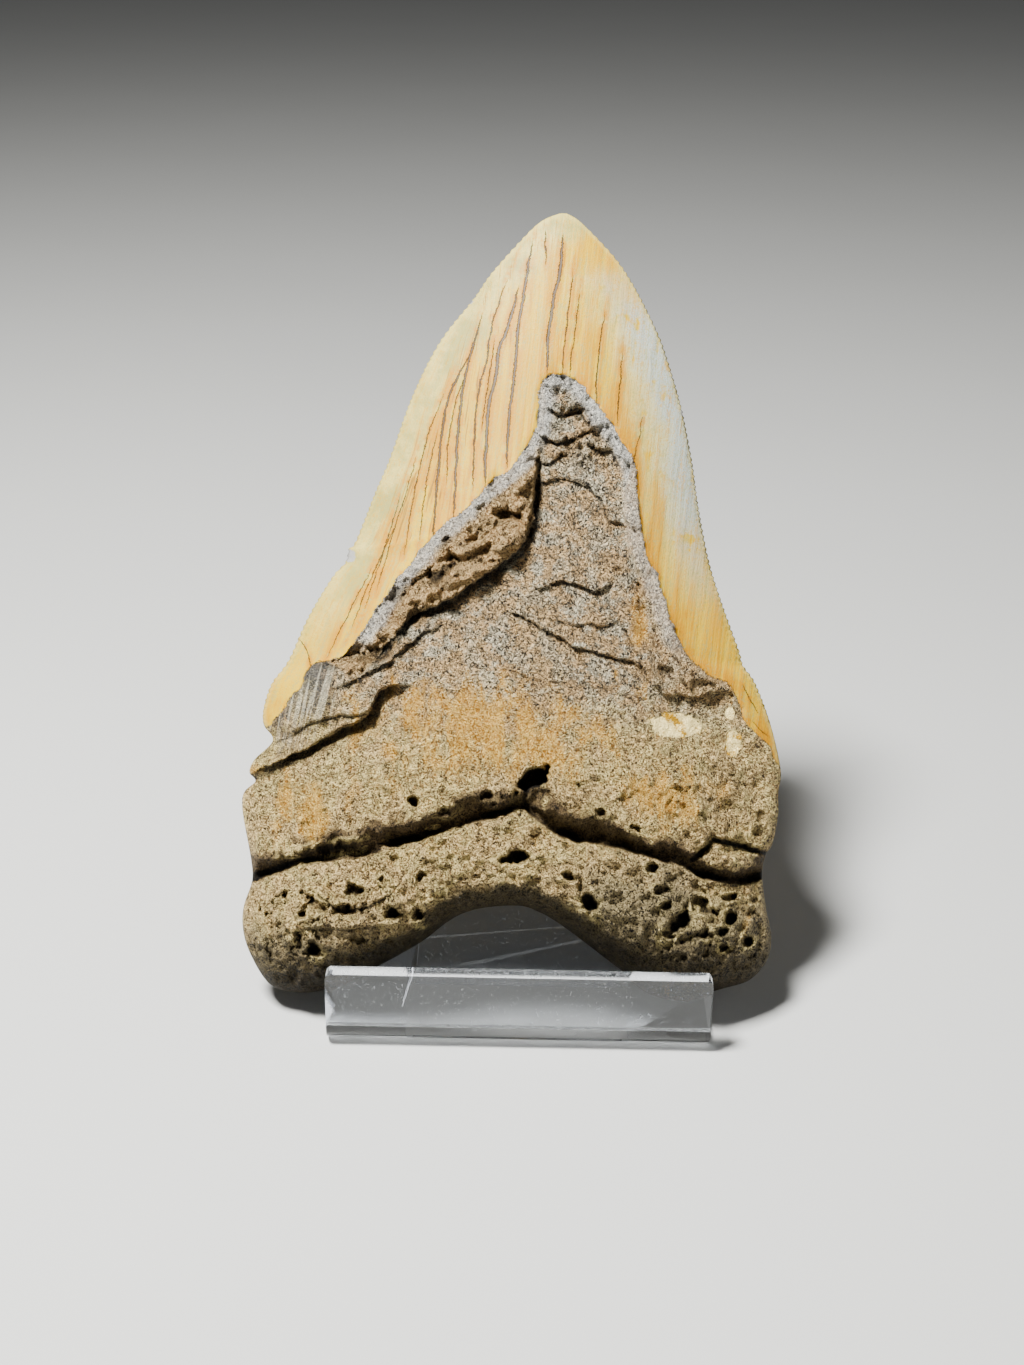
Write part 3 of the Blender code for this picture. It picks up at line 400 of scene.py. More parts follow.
def ledges(x, w, wander):
    """Height of the broken lips, and the painted shadow just below each."""
    high, foot = np.zeros_like(x), np.zeros_like(x)
    for points, height, reach in LEDGES:
        away = offset_from(points, x, w) + 0.5 * wander
        high = np.maximum(high, height * rise(away, -0.1, 0.4) * (1 - rise(np.abs(away), 0.5, reach)))
        foot = np.maximum(foot, height * (1 - rise(np.abs(away + 0.2), 0.1, 0.55)))
    return high, foot


# Hairline cracks of the enamel from top to bottom, front and back, each with its width in millimetres.
FRONT_CRACKS = [
    ([(3.9, 146.4), (2.7, 138.1), (1.4, 130.7), (0.6, 121.7), (-0.4, 113.5), (-1.2, 102.2)], 0.52),
    ([(6.4, 148.4), (6.6, 142.2)], 0.14),
    ([(9.8, 147.8), (9.6, 142.2), (8.2, 135.1), (7.2, 129.1), (6.8, 120.9)], 0.60),
    ([(1.2, 137.7), (-1.0, 129.1), (-2.5, 125.4), (-3.1, 120.9), (-4.5, 114.1), (-5.1, 105.9),
      (-5.3, 98.5)], 0.62),
    ([(-1.2, 138.5), (-3.7, 131.2), (-5.1, 122.7), (-6.8, 115.2), (-7.4, 105.9), (-7.6, 98.5)], 0.28),
    ([(-5.9, 132.0), (-7.4, 126.6), (-9.4, 119.0), (-10.3, 111.5), (-10.9, 104.1), (-11.3, 92.0)], 0.46),
    ([(-7.7, 125.0), (-11.9, 117.2), (-13.5, 110.4), (-14.4, 102.2), (-15.4, 88.0)], 0.42),
    ([(-13.6, 116.0), (-17.0, 106.6), (-18.9, 97.8), (-20.9, 86.1)], 0.16),
    ([(-18.9, 103.8), (-20.9, 96.8), (-23.4, 89.0), (-26.1, 79.3)], 0.14),
    ([(-22.8, 91.0), (-27.7, 80.2), (-31.2, 71.5)], 0.12),
    ([(-27.6, 82.3), (-32.6, 72.5), (-35.9, 65.7)], 0.12),
    ([(11.9, 140.0), (10.9, 132.0), (9.8, 120.7)], 0.18),
    ([(13.2, 136.0), (12.2, 128.0), (11.2, 120.0)], 0.14),
    ([(18.1, 132.3), (16.9, 124.7), (16.4, 114.8)], 0.2),
    ([(21.6, 124.7), (20.5, 110.8)], 0.14),
    ([(-3.4, 127.0), (-4.6, 119.0), (-5.9, 110.0)], 0.14),
    ([(-9.0, 121.0), (-11.7, 112.0), (-12.8, 100.0)], 0.14),
    ([(-14.6, 109.0), (-16.6, 100.0), (-18.0, 88.5)], 0.14),
    ([(-22.0, 96.5), (-25.4, 85.0), (-28.6, 75.5)], 0.12),
    ([(25.5, 112.4), (23.8, 103.4)], 0.12),
    ([(-41.9, 69.3), (-40.1, 66.8), (-39.1, 63.6)], 0.14),
    ([(45.0, 59.9), (47.8, 54.6)], 0.14),
    ([(46.8, 52.9), (49.9, 50.1)], 0.14),
]
BACK_CRACKS = [
    ([(8.0, 146.0), (4.0, 120.0), (2.0, 92.0), (1.0, 60.0)], 0.3),
    ([(2.0, 137.0), (-4.0, 112.0), (-9.0, 84.0), (-12.0, 62.0)], 0.2),
    ([(-8.0, 125.0), (-15.0, 100.0), (-22.0, 76.0), (-26.0, 58.0)], 0.2),
    ([(14.0, 137.0), (14.0, 112.0), (13.0, 86.0), (16.0, 62.0)], 0.24),
    ([(22.0, 126.0), (24.0, 100.0), (27.0, 76.0), (31.0, 58.0)], 0.16),
    ([(-24.0, 92.0), (-31.0, 72.0), (-37.0, 58.0)], 0.14),
]

# The rectangle of the tooth's plane that the crack curves are drawn in.
CRACK_LEFT = -60.0
CRACK_WIDE = 120.0
CRACK_LOW = 40.0
CRACK_TALL = 120.0

# The middle line that the enamel's streaks run along; further left they turn towards the outline.
STREAK_AT = -8.0
STREAK_SLOPE = 0.11
STREAK_FAN = 16.0

# Soft patches as (right, up, half width, half height).
CREAM_PATCHES = [(32.0, 52.2, 6.4, 2.7), (43.2, 48.8, 1.6, 2.9), (42.4, 54.6, 1.1, 1.5)]
OCHRE_PATCHES = [(-6.0, 51.0, 27.0, 11.0), (30.0, 38.5, 11.0, 6.0), (-40.0, 36.0, 7.0, 7.0),
                 (4.0, 46.5, 14.0, 4.0), (24.8, 72.0, 2.0, 8.0), (-50.0, 43.5, 2.0, 1.5)]
OCHRE_ENAMEL = [(-13.0, 100.0, 7.5, 20.0), (8.0, 125.0, 3.6, 10.0), (0.0, 129.0, 2.6, 4.0),
                (16.5, 115.0, 5.0, 9.0), (22.5, 108.0, 2.6, 6.0), (28.0, 92.0, 2.6, 16.0),
                (33.5, 71.0, 3.0, 9.0), (41.0, 61.0, 5.0, 5.0), (48.5, 50.0, 5.0, 9.0),
                (-44.0, 56.0, 4.0, 3.0), (-50.0, 50.0, 4.0, 6.0), (-24.0, 86.0, 4.0, 9.0),
                (30.3, 122.4, 1.6, 1.2)]
GREY_CHIPS = [(-31.6, 85.2, 1.3, 1.6), (-7.9, 134.7, 0.5, 0.5), (33.4, 113.2, 0.6, 1.4)]


def front_relief(x, w):
    """Height over the smooth front, and the layers that the finish needs, each by its name."""
    wander = grain(x, w, 3.0, 1.5)
    enamel = offset_from(ENAMEL_EDGE, x, w) + 0.5 * wander
    ridge = offset_from(RIDGE_CLIFF, x, w) + 0.5 * wander
    slab = offset_from(SLAB_CLIFF, x, w) + 0.4 * wander
    right = offset_from(RIGHT_CLIFF, x, w) + 0.7 * wander
    rough = grain(x, w, 5.0, 7.5, 5)
    lumpy = 2.4 * np.abs(grain(x, w, 5.0, 21.5, 3, 1.5, math.radians(42))) - 0.7
    fine = grain(x, w, 1.7, 3.5, 3)
    bare = 1 - rise(enamel, -0.3, 0.3)
    high = rise(w, *ROOT_TOP)
    height = -bare * (ENAMEL_STEP + DENTINE_DROP * rise(-enamel, 0.3, DENTINE_SLOPE))

    on_ridge = rise(ridge, -0.3, 0.4) * bare * rise(w, *RIDGE_FOOT) * (1 - rise(x, *RIDGE_END))
    broad = on_ridge * rise(-enamel, 0.2, 2.5)
    fading = 1 - 0.75 * rise(w, *RIDGE_FADES)
    height += on_ridge * fading * (RIDGE_LIP + RIDGE_RISE * rise(-enamel, 0.3, DENTINE_SLOPE))
    height += broad * fading * (RIDGE_LUMPS * lumpy + RIDGE_ROUGHNESS * rough + RIDGE_GRIT * fine)
    on_slab = rise(slab, -0.3, 0.4) * (1 - rise(x, *SLAB_END)) * bare * (1 - on_ridge)
    height += on_slab * (SLAB_RISE + SLAB_FIBRES * grain(x, w, 1.3, 4.5, 3, 7.0, math.radians(72)))
    on_right = rise(right, -0.3, 0.5) * bare * rise(x, *RIGHT_LEDGE_START) * rise(w, *RIGHT_LEDGE_FOOT)
    height += on_right * (RIGHT_RISE + RIGHT_FIBRES * grain(x, w, 1.5, 9.5, 3, 5.0, math.radians(100)))
    # A hollow dug along the foot of the ridge and slab cliffs; it also sets where their shadow is painted.
    low_side = FOOT_HOLLOW * (1 - rise(-ridge, 0.2, RIDGE_FOOT_REACH)) * (ridge < 0)
    low_side *= rise(w, 62, 66) * (1 - rise(w, 99, 104))
    below_slab = (1 - rise(-slab, 0.4, SLAB_FOOT_REACH)) * (slab < 0) * (1 - rise(x, -26, -19))
    low_side += FOOT_HOLLOW * below_slab
    height -= bare * low_side
    lips, foot_shadow = ledges(x, w, wander)
    height += lips * bare * (1 - 0.7 * broad)

    blocky = bare * (1 - on_ridge) * rise(w, *APEX_FOOT)
    blocks = np.abs(grain(x, w, 3.6, 31.5, 3))
    height += blocky * (APEX_BLOCKS * blocks + APEX_GRIT * fine)
    height += bare * high * (1 - broad) * (DENTINE_ROUGHNESS * rough + DENTINE_GRIT * fine)
    groove, brow, under = undercut(x, w, wander)
    rugged = ROOT_ROUGHNESS * (grain(x, w, 8.0, 2.5, 5) + 0.5 * wander) + ROOT_GRIT * fine
    height += bare * (1 - high) * rugged + bare * brow

    lobes = rise(np.abs(x - 1), 20, 30) * (1 - rise(w, 18, 25)) * rise(w, 4, 8)
    pits = lobes * rise(grain(x, w, 2.2, 5.5, 3), 0.22, 0.55)
    holes, rims = spots(HOLES, x, w, fine + wander)
    lumps, _ = spots(LUMPS, x, w, fine)
    narrow = carve(x, w, NARROW_CRACKS, wander)
    carved = np.maximum.reduce([groove, holes, narrow])
    height += bare * (lumps * (1 - 0.3 * rough) + HOLE_RIM * rims * (1 - high) - carved - LOBE_PITS * pits)
    height += bare * ALL_GRIT * grain(x, w, 0.8, 6.5, 2)
    # Painted shadow in the gaps between the apex blocks, below the cliffs and below the broken lips.
    gaps = blocky * (1 - rise(blocks, 0.02, 0.10)) * rise(grain(x, w, 6.0, 41.5, 2), -0.1, 0.2)
    foot_shadow = np.maximum.reduce([foot_shadow, 0.9 * low_side, gaps])
    # Depths that set where shade is painted in the cracks, holes and lobe pits.
    deepest = np.maximum.reduce([0.7 * groove * (groove / CRACK_DEPTH) ** 2, holes, narrow])
    return height, {
        "enamel": enamel,
        "ridge": on_ridge,
        "slab": on_slab,
        "ledge": on_right,
        "carved": deepest + LOBE_PITS * pits - 0.8 * lumps,
        "foot": foot_shadow * bare,
        "under": under * (1 - lumps),
        "rim": rims,
    }


def back_relief(x, w):
    """Height over the smooth back, and its layers by name."""
    line = BACK_ROOT_TOP + BACK_ROOT_ARCH * np.cos(math.pi * x / BACK_ROOT_WIDTH)
    enamel = w - line + 0.8 * grain(x, w, 4.0, 8.5)
    bare = 1 - rise(enamel, -0.5, 0.5)
    rough = 0.7 * grain(x, w, 7.0, 9.5, 5) + 0.3 * grain(x, w, 2.2, 6.5, 3)
    pits = rise(w, 8, 14) * rise(grain(x, w, 2.8, 3.5, 3), 0.3, 0.6)
    layers = {name: np.zeros_like(x) for name in ("ridge", "slab", "ledge", "foot", "under", "rim")}
    layers["enamel"] = enamel
    # Where shade is painted in the back's pits.
    layers["carved"] = bare * pits
    return -bare * (BACK_STEP - rough + BACK_PITS * pits), layers


def tooth_plane(u, v):
    """Places on the tooth's plane, from shares across (0 to 1) and from the foot to the tip (0 to 1)."""
    left, right, foot = along(LEFT_SIDE, v), along(RIGHT_SIDE, v), along(FOOT, u)
    tip = (1 - u)[..., None] * LEFT_SIDE[-1] + u[..., None] * RIGHT_SIDE[-1]
    a, b = u[..., None], v[..., None]
    corners = ((1 - a) * (1 - b) * FOOT[0] + a * (1 - b) * FOOT[-1]
               + (1 - a) * b * LEFT_SIDE[-1] + a * b * RIGHT_SIDE[-1])
    x, w = np.moveaxis((1 - b) * foot + b * tip + (1 - a) * left + a * right - corners, -1, 0)
    cutting = rise(w, *SERRATION_START) * (1 - rise(w, *SERRATION_END))
    cutting = cutting * rise(np.abs(2 * u - 1), 0.96, 1.0)
    tooth = 0.5 + 0.5 * np.sin(2 * math.pi * w / SERRATION_PITCH + 1.5 * np.sin(w / 3.1))
    return x - cutting * SERRATION_DEPTH * tooth * np.sign(u - 0.5), w


def tooth_face(u, v, front):
    """Points of one face of the tooth, with the layers of its finish."""
    x, w = tooth_plane(u, v)
    crown = rise(v, *CROWN_SHARE)
    aside = np.abs(2 * u - 1)
    belly = (1 - aside ** (2.8 - 0.8 * crown)) ** (0.5 + 0.4 * crown)
    foot_round = np.sqrt(1 - (1 - np.clip(v / FOOT_ROUNDING, 0, 1)) ** 2)
    full = belly * foot_round * (1 - v**TIP_SHARPNESS)
    rim = np.interp(v, STATIONS, RIM_DEPTHS)
    middle = np.interp(v, STATIONS, FRONT_DEPTHS if front else BACK_DEPTHS)
    depth = rim + (middle - rim) * full
    fade = rise(full, *RIM_SHARE)
    height, layers = front_relief(x, w) if front else back_relief(x, w)
    depth = depth + fade * height if front else np.maximum(depth - fade * height, 0)
    return x, w, depth, layers


def placed(x, w, depth):
    """Points of the tooth before it is moved to the stand: raised to the eye, turned and leaned back."""
    nearer = (depth - RIM_DEPTH) / EYE_DISTANCE
    x, w = x * (1 - nearer), w + (EYE_HEIGHT - w) * nearer
    x, w = x * math.cos(TURN) - w * math.sin(TURN), w * math.cos(TURN) + x * math.sin(TURN)
    back = w * math.sin(LEAN) - depth * math.cos(LEAN)
    up = w * math.cos(LEAN) + depth * math.sin(LEAN)
    return np.stack([x, back, up], -1)


def even_arc(count):
    """Shares from 0 to 1 that lie closer together at both ends."""
    return (1 - np.cos(np.linspace(0, math.pi, count))) / 2


def blobs(patches, x, w):
    """Soft spots, 1 at their middles."""
    total = np.zeros_like(x)
    for right, up, half_width, half_height in patches:
        reach = ((x - right) / half_width) ** 2 + ((w - up) / half_height) ** 2
        total = np.maximum(total, np.exp(-reach))
    return total


def streak_lines(x, w):
    """A coordinate that stays the same along the enamel's streaks."""
    outline = np.array(LEFT_SIDE[9:])
    left = np.interp(w, outline[:, 1], outline[:, 0])
    middle = STREAK_AT + STREAK_SLOPE * (w - 110)
    turned = STREAK_FAN * (x - middle) / np.maximum(middle - left, 2.0)
    return np.where(x < middle, turned, x - middle)


def paint_layers(x, w, depth, front, layers):
    """Every value that the tooth's finish reads, by name."""
    layers["foot_edge"] = np.abs(offset_from(FOOT, x, w))
    layers["left_edge"] = np.abs(offset_from(LEFT_SIDE, x, w))
    layers["right_edge"] = np.abs(offset_from(RIGHT_SIDE, x, w))
    layers["streak"] = streak_lines(x, w)
    layers["warm"] = blobs(OCHRE_ENAMEL, x, w)
    layers["ochre"] = blobs(OCHRE_PATCHES, x, w) if front else np.full_like(x, 0.3)
    layers["cream"] = blobs(CREAM_PATCHES, x, w) if front else np.zeros_like(x)
    layers["chip"] = blobs(GREY_CHIPS, x, w)
    layers["front"] = np.full_like(x, float(front))
    layers["face"] = np.stack([x, w, depth], -1)
    return layers


def grid_mesh(name, places, layers):
    """A grid of faces through the places, an array of rows and columns, with the layers as attributes."""
    rows, columns = places.shape[:2]
    bm = bmesh.new()
    bmesh.ops.create_grid(bm, x_segments=columns - 1, y_segments=rows - 1, size=1)
    mesh = bpy.data.meshes.new(name)
    bm.to_mesh(mesh)
    bm.free()
    flat = np.empty(rows * columns * 3, np.float32)
    mesh.vertices.foreach_get("co", flat)
    x, y, _ = flat.reshape(-1, 3).T
    order = np.lexsort((np.round(x * columns), np.round(y * rows)))
    points = np.empty((rows * columns, 3), np.float32)
    points[order] = places.reshape(-1, 3)
    mesh.vertices.foreach_set("co", points.ravel())
    for layer, values in layers.items():
        vector = values.ndim == 3
        made = mesh.attributes.new(layer, "FLOAT_VECTOR" if vector else "FLOAT", "POINT")
        sorted_values = np.empty((rows * columns, 3) if vector else rows * columns, np.float32)
        sorted_values[order] = values.reshape(-1, 3) if vector else values.ravel()
        made.data.foreach_set("vector" if vector else "value", sorted_values.ravel())
    return mesh


def scene_object(name, data):
    """A new object with that data, linked into the scene."""
    made = bpy.data.objects.new(name, data)
    bpy.context.scene.collection.objects.link(made)
    return made


def evaluated_copy(obj):
    """The object's mesh as its modifiers leave it."""
    bpy.context.view_layer.update()
    graph = bpy.context.evaluated_depsgraph_get()
    final = obj.evaluated_get(graph)
    return bpy.data.meshes.new_from_object(final, preserve_all_data_layers=True, depsgraph=graph)


def tooth_mesh(columns, rows, triangles):
    """The whole tooth: two grids welded along the outline and thinned to the triangles asked for."""
    u, v = np.meshgrid(even_arc(columns + 1), np.linspace(0, 1, rows + 1) ** ROWS_LOW)
    bm = bmesh.new()
    for front in (True, False):
        x, w, depth, layers = tooth_face(u, v, front)
        half = grid_mesh("half", placed(x, w, depth), paint_layers(x, w, depth, front, layers))
        if not front:
            half.flip_normals()
        bm.from_mesh(half)
        bpy.data.meshes.remove(half)
    bmesh.ops.remove_doubles(bm, verts=[vert for vert in bm.verts if vert.is_boundary], dist=0.0001)
    mesh = bpy.data.meshes.new("tooth")
    bm.to_mesh(mesh)
    bm.free()
    helper = scene_object("helper", mesh)
    thin = helper.modifiers.new("Fewer faces", "DECIMATE")
    thin.ratio = triangles / sum(len(face.vertices) - 2 for face in mesh.polygons)
    thinned = evaluated_copy(helper)
    bpy.data.objects.remove(helper)
    return thinned


def points_of(mesh):
    """The mesh's vertices as an array."""
    flat = np.empty(len(mesh.vertices) * 3, np.float32)
    mesh.vertices.foreach_get("co", flat)
    return flat.reshape(-1, 3)


def lip_foot():
    """Where the middle of the lip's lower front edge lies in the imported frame, in millimetres."""
    low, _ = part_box("acrylic_stand")
    return np.array(low) / MM + [LIP_WIDTH / 2, 0, 0]


def tooth_move(lowest):
    """The move that brings a tooth mesh whose lowest point is known to its place on the stand."""
    low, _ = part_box("megalodon_tooth")
    lip = lip_foot()
    return np.array([lip[0] - STAND_OFF_CENTRE, lip[1] + TOOTH_BACK, low[2] / MM - lowest])


class Wire:
    """The output of a shader node. Arithmetic on it adds Math nodes."""

    def __init__(self, shader, socket):
        self.shader = shader
        self.socket = socket

    def math(self, operation, *values):
        return self.shader.node("ShaderNodeMath", {"operation": operation}, dict(enumerate(values)))

    def __add__(self, other):
        return self.math("ADD", self, other)

    def __sub__(self, other):
        return self.math("SUBTRACT", self, other)

    def __rsub__(self, other):
        return self.math("SUBTRACT", other, self)

    def __mul__(self, other):
        return self.math("MULTIPLY", self, other)

    def __truediv__(self, other):
        return self.math("DIVIDE", self, other)

    def __abs__(self):
        return self.math("ABSOLUTE", self)

    def __or__(self, other):
        return self.math("MAXIMUM", self, other)

    def __and__(self, other):
        return self.math("MINIMUM", self, other)

    def __pow__(self, other):
        return self.math("POWER", self, other)

    __radd__ = __add__
    __rmul__ = __mul__


class Shader:
    """A material with a Principled surface, and short calls for the nodes that feed it."""

    def __init__(self, name):
        self.material = bpy.data.materials.new(name)
        self.material.use_nodes = True
        self.tree = self.material.node_tree
        self.surface = self.tree.nodes["Principled BSDF"]
        self.noises = {}

    def feed(self, socket, value):
        """Gives a socket a wire, a number, or a colour of three values."""
        if isinstance(value, Wire):
            self.tree.links.new(value.socket, socket)
        elif socket.type == "RGBA":
            socket.default_value = (*value, 1.0)
        else:
            socket.default_value = value

    def node(self, kind, settings=None, values=None, output=0):
        """Adds a node, and gives back one of its outputs."""
        made = self.tree.nodes.new(kind)
        for name, value in (settings or {}).items():
            if name == "points":
                self.draw(made.mapping, value)
            else:
                setattr(made, name, value)
        for name, value in (values or {}).items():
            self.feed(made.inputs[name], value)
        return Wire(self, made.outputs[output])

    def draw(self, mapping, points):
        """Lays the curve of a Float Curve node through the points."""
        curve = mapping.curves[0].points
        curve[0].location, curve[1].location = points[0], points[-1]
        for point in points[1:-1]:
            curve.new(*point)
        mapping.update()

    def set(self, **values):
        """Feeds the surface's sockets, named with underscores for spaces."""
        for name, value in values.items():
            self.feed(self.surface.inputs[name.replace("_", " ")], value)

    def layer(self, name, output=2):
        """One of the mesh's own values."""
        return self.node("ShaderNodeAttribute", {"attribute_name": name}, None, output)

    def face_place(self):
        """(right, up, deep) on the tooth, in millimetres."""
        return self.layer("face", 1)

    def own_place(self):
        """The place in the object's own axes, in metres."""
        return self.node("ShaderNodeTexCoord", None, None, 3)

    def spread(self, place, factors):
        return self.node("ShaderNodeVectorMath", {"operation": "MULTIPLY"}, {0: place, 1: factors})

    def join(self, x, y, z):
        return self.node("ShaderNodeCombineXYZ", None, {0: x, 1: y, 2: z})

    def axis(self, place, index):
        """One of a place's three numbers."""
        return self.node("ShaderNodeSeparateXYZ", None, {0: place}, index)

    def noise(self, place, size, detail=4.0, roughness=0.6, twist=0.0):
        values = {"Vector": place, "Scale": 1 / size, "Detail": detail, "Roughness": roughness,
                  "Distortion": twist}
        return self.node("ShaderNodeTexNoise", None, values)

    def step(self, value, low, high):
        values = {"Value": value, "From Min": low, "From Max": high}
        return self.node("ShaderNodeMapRange", {"interpolation_type": "SMOOTHSTEP"}, values)

    def remember(self, **noises):
        """Keeps noises by their names, moved to lie round 0, for ragged steps."""
        for name, wire in noises.items():
            self.noises[name] = wire - 0.5

    def ragged(self, value, low, high, **wander):
        """A smooth step whose edge wanders by those amounts of the noises it names."""
        for name, amount in wander.items():
            value = value + amount * self.noises[name]
        return self.step(value, low, high)

    def vein(self, wire):
        """1 along the lines where a noise passes its middle value."""
        return 1 - abs(2 * wire - 1)

    def mix(self, share, first, second):
        return self.node("ShaderNodeMix", {"data_type": "RGBA"}, {0: share, 6: first, 7: second}, 2)

    def blend(self, share, first, second):
        """The first number where the share is 0, and the second where it is 1."""
        return share * second + (1 - share) * first

    def cover(self, share, colour, roughness):
        """Lays a matt colour over the surface by the share."""
        coat = self.node("ShaderNodeBsdfPrincipled", None, {"Base Color": colour, "Roughness": roughness})
        clear = Wire(self, self.surface.outputs[0])
        both = self.node("ShaderNodeMixShader", None, {0: share, 1: clear, 2: coat})
        self.tree.links.new(both.socket, self.tree.nodes["Material Output"].inputs[0])

    def bump(self, height, unit):
        return self.node("ShaderNodeBump", None, {"Height": height, "Distance": unit, "Strength": 1.0})


def shown(red, green, blue):
    """The linear colour of three display values from 0 to 255."""
    values = [value / 255 for value in (red, green, blue)]
    return tuple(v / 12.92 if v <= 0.04045 else ((v + 0.055) / 1.055) ** 2.4 for v in values)


def crack_edge(s, x, w, cracks):
    """Distance in millimetres from the edge of the nearest hairline crack, negative inside it."""
    nearest = None
    share = (w - CRACK_LOW) / CRACK_TALL
    for points, width in cracks:
        top, foot = points[0][1], points[-1][1]
        curve = [((up - CRACK_LOW) / CRACK_TALL, (right - CRACK_LEFT) / CRACK_WIDE)
                 for right, up in reversed(points)]
        line = s.node("ShaderNodeFloatCurve", {"points": curve}, {"Value": share})
        away = abs(x - CRACK_LEFT - CRACK_WIDE * line)
        along_it = abs(w - (top + foot) / 2) / ((top - foot) / 2)
        edge = away + width / 2 * along_it ** 6 - width / 2
        nearest = edge if nearest is None else nearest & edge
    return nearest


def enamel_coat(s, look, fine, mottle):
    """Colour of the enamel, its cracks, and its streaks."""
    place = s.face_place()
    x, w = s.axis(place, 0), s.axis(place, 1)
    along_place = s.join(s.layer("streak"), w * 0.045, s.axis(place, 2) * 0.1)
    streak = s.noise(along_place, 1.5, 5.0, 0.62)
    hair = s.noise(along_place, 0.42, 2.0, 0.5)
    cloud = s.noise(place, 7.0, 4.0, 0.6)
    s.remember(streak=streak, hair=hair, cloud=cloud)
    wobbly = x + 0.7 * s.noises["grit"] + 0.9 * s.noises["mottle"]
    front = s.layer("front")
    edge = crack_edge(s, wobbly, w, FRONT_CRACKS) + 9 * (1 - front)
    edge = edge & (crack_edge(s, wobbly, w, BACK_CRACKS) + 9 * front)

    colour = s.mix(s.step(streak, 0.40, 0.64), look.enamel, look.honey)
    left = (1 - s.ragged(s.layer("left_edge"), 3.5, 9.0, cloud=7)) * s.step(w, 58.0, 84.0)
    colour = s.mix(0.95 * left, colour, s.mix(s.step(cloud, 0.38, 0.62), look.sage, look.pale))
    right = 1 - s.ragged(s.layer("right_edge"), 3.0, 14.0, cloud=10)
    below_tip = 1 - s.ragged(w, 126.0, 146.0, cloud=16)
    patchy = s.ragged(mottle, 0.24, 0.44, streak=0.6, cloud=0.5)
    right = right * patchy * below_tip * s.ragged(w, 68.0, 100.0, cloud=20)
    misty = s.ragged(s.layer("right_edge"), 2.5, 8.5, cloud=8, mottle=4)
    colour = s.mix(right, colour, s.mix(misty, look.cool, look.mist))

    warm = s.ragged(s.layer("warm"), 0.38, 0.95, streak=2.0, mottle=1.0)
    colour = s.mix(0.75 * warm, colour, s.mix(s.step(hair, 0.5, 0.62), look.honey, look.amber))
    halo = (1 - s.step(edge, 0.05, 1.4)) * s.ragged(mottle, 0.38, 0.54, streak=0.5)
    broken = 1 - s.ragged(s.layer("enamel"), 0.2, 2.6, streak=2.4, mottle=1.6)
    halo = halo | broken * s.step(x, 4.0, 10.0) * s.ragged(streak, 0.34, 0.52, mottle=0.4)
    colour = s.mix(0.85 * halo, colour, look.amber)
    colour = s.mix(0.55 * s.ragged(fine, 0.54, 0.66, hair=0.8), colour, look.honey)
    scuff = 1 - s.ragged(fine, 0.34, 0.46, hair=0.8, mottle=0.4)
    colour = s.mix(0.6 * scuff, colour, look.sage)

    thin = s.step(hair, 0.60, 0.68) * (1 - s.step(abs(x + 26 - 0.4 * (w - 75)), 3.0, 8.0))
    line = 1 - s.step(edge, -0.05, 0.07)
    filling = s.mix(s.step(edge, -0.22, -0.10), look.crack_fill, look.crack)
    colour = s.mix(0.9 * line | 0.5 * thin, colour, filling)
    rim = 1 - s.ragged(s.layer("left_edge") & s.layer("right_edge"), 0.2, 1.1, mottle=0.8)
    colour = s.mix(0.55 * rim, colour, look.pale)
    chip = s.ragged(s.layer("chip"), 0.45, 0.6, grit=0.4)
    return s.mix(chip, colour, look.chalk_dark), line, streak


def fibres(s, fine, grit):
    """The winding light fibres, and the dark specks and creases that cover all bare surfaces: partly the
    grains' own dark colour, partly painted shade where the grit is low.
    """
    place = s.face_place()
    x, w, deep = (s.axis(place, index) for index in range(3))
    strand = s.noise(s.join(x, w * 0.62, deep * 0.6), 0.95, 2.0, 0.55, 1.4)
    tangle = s.noise(place, 1.5, 2.0, 0.6, 2.2)
    crease = s.noise(s.join(x, w * 1.5, deep), 3.2, 4.0, 0.68, 1.0)
    light = s.step(s.vein(strand), 0.86, 0.97) | s.step(s.vein(tangle), 0.90, 0.98)
    light = light | s.ragged(grit, 0.56, 0.64, fine=0.6)
    # Dark where the grit's bumps are low: partly the grains' own dark colour, partly painted shade in the
    # pits.
    dark = 1 - s.ragged(grit + 0.08 * light, 0.43, 0.51, fine=0.9)
    crease = s.step(s.vein(crease), 0.91, 0.985) * s.ragged(fine, 0.40, 0.56, grit=0.6)
    return light, dark | 0.85 * crease


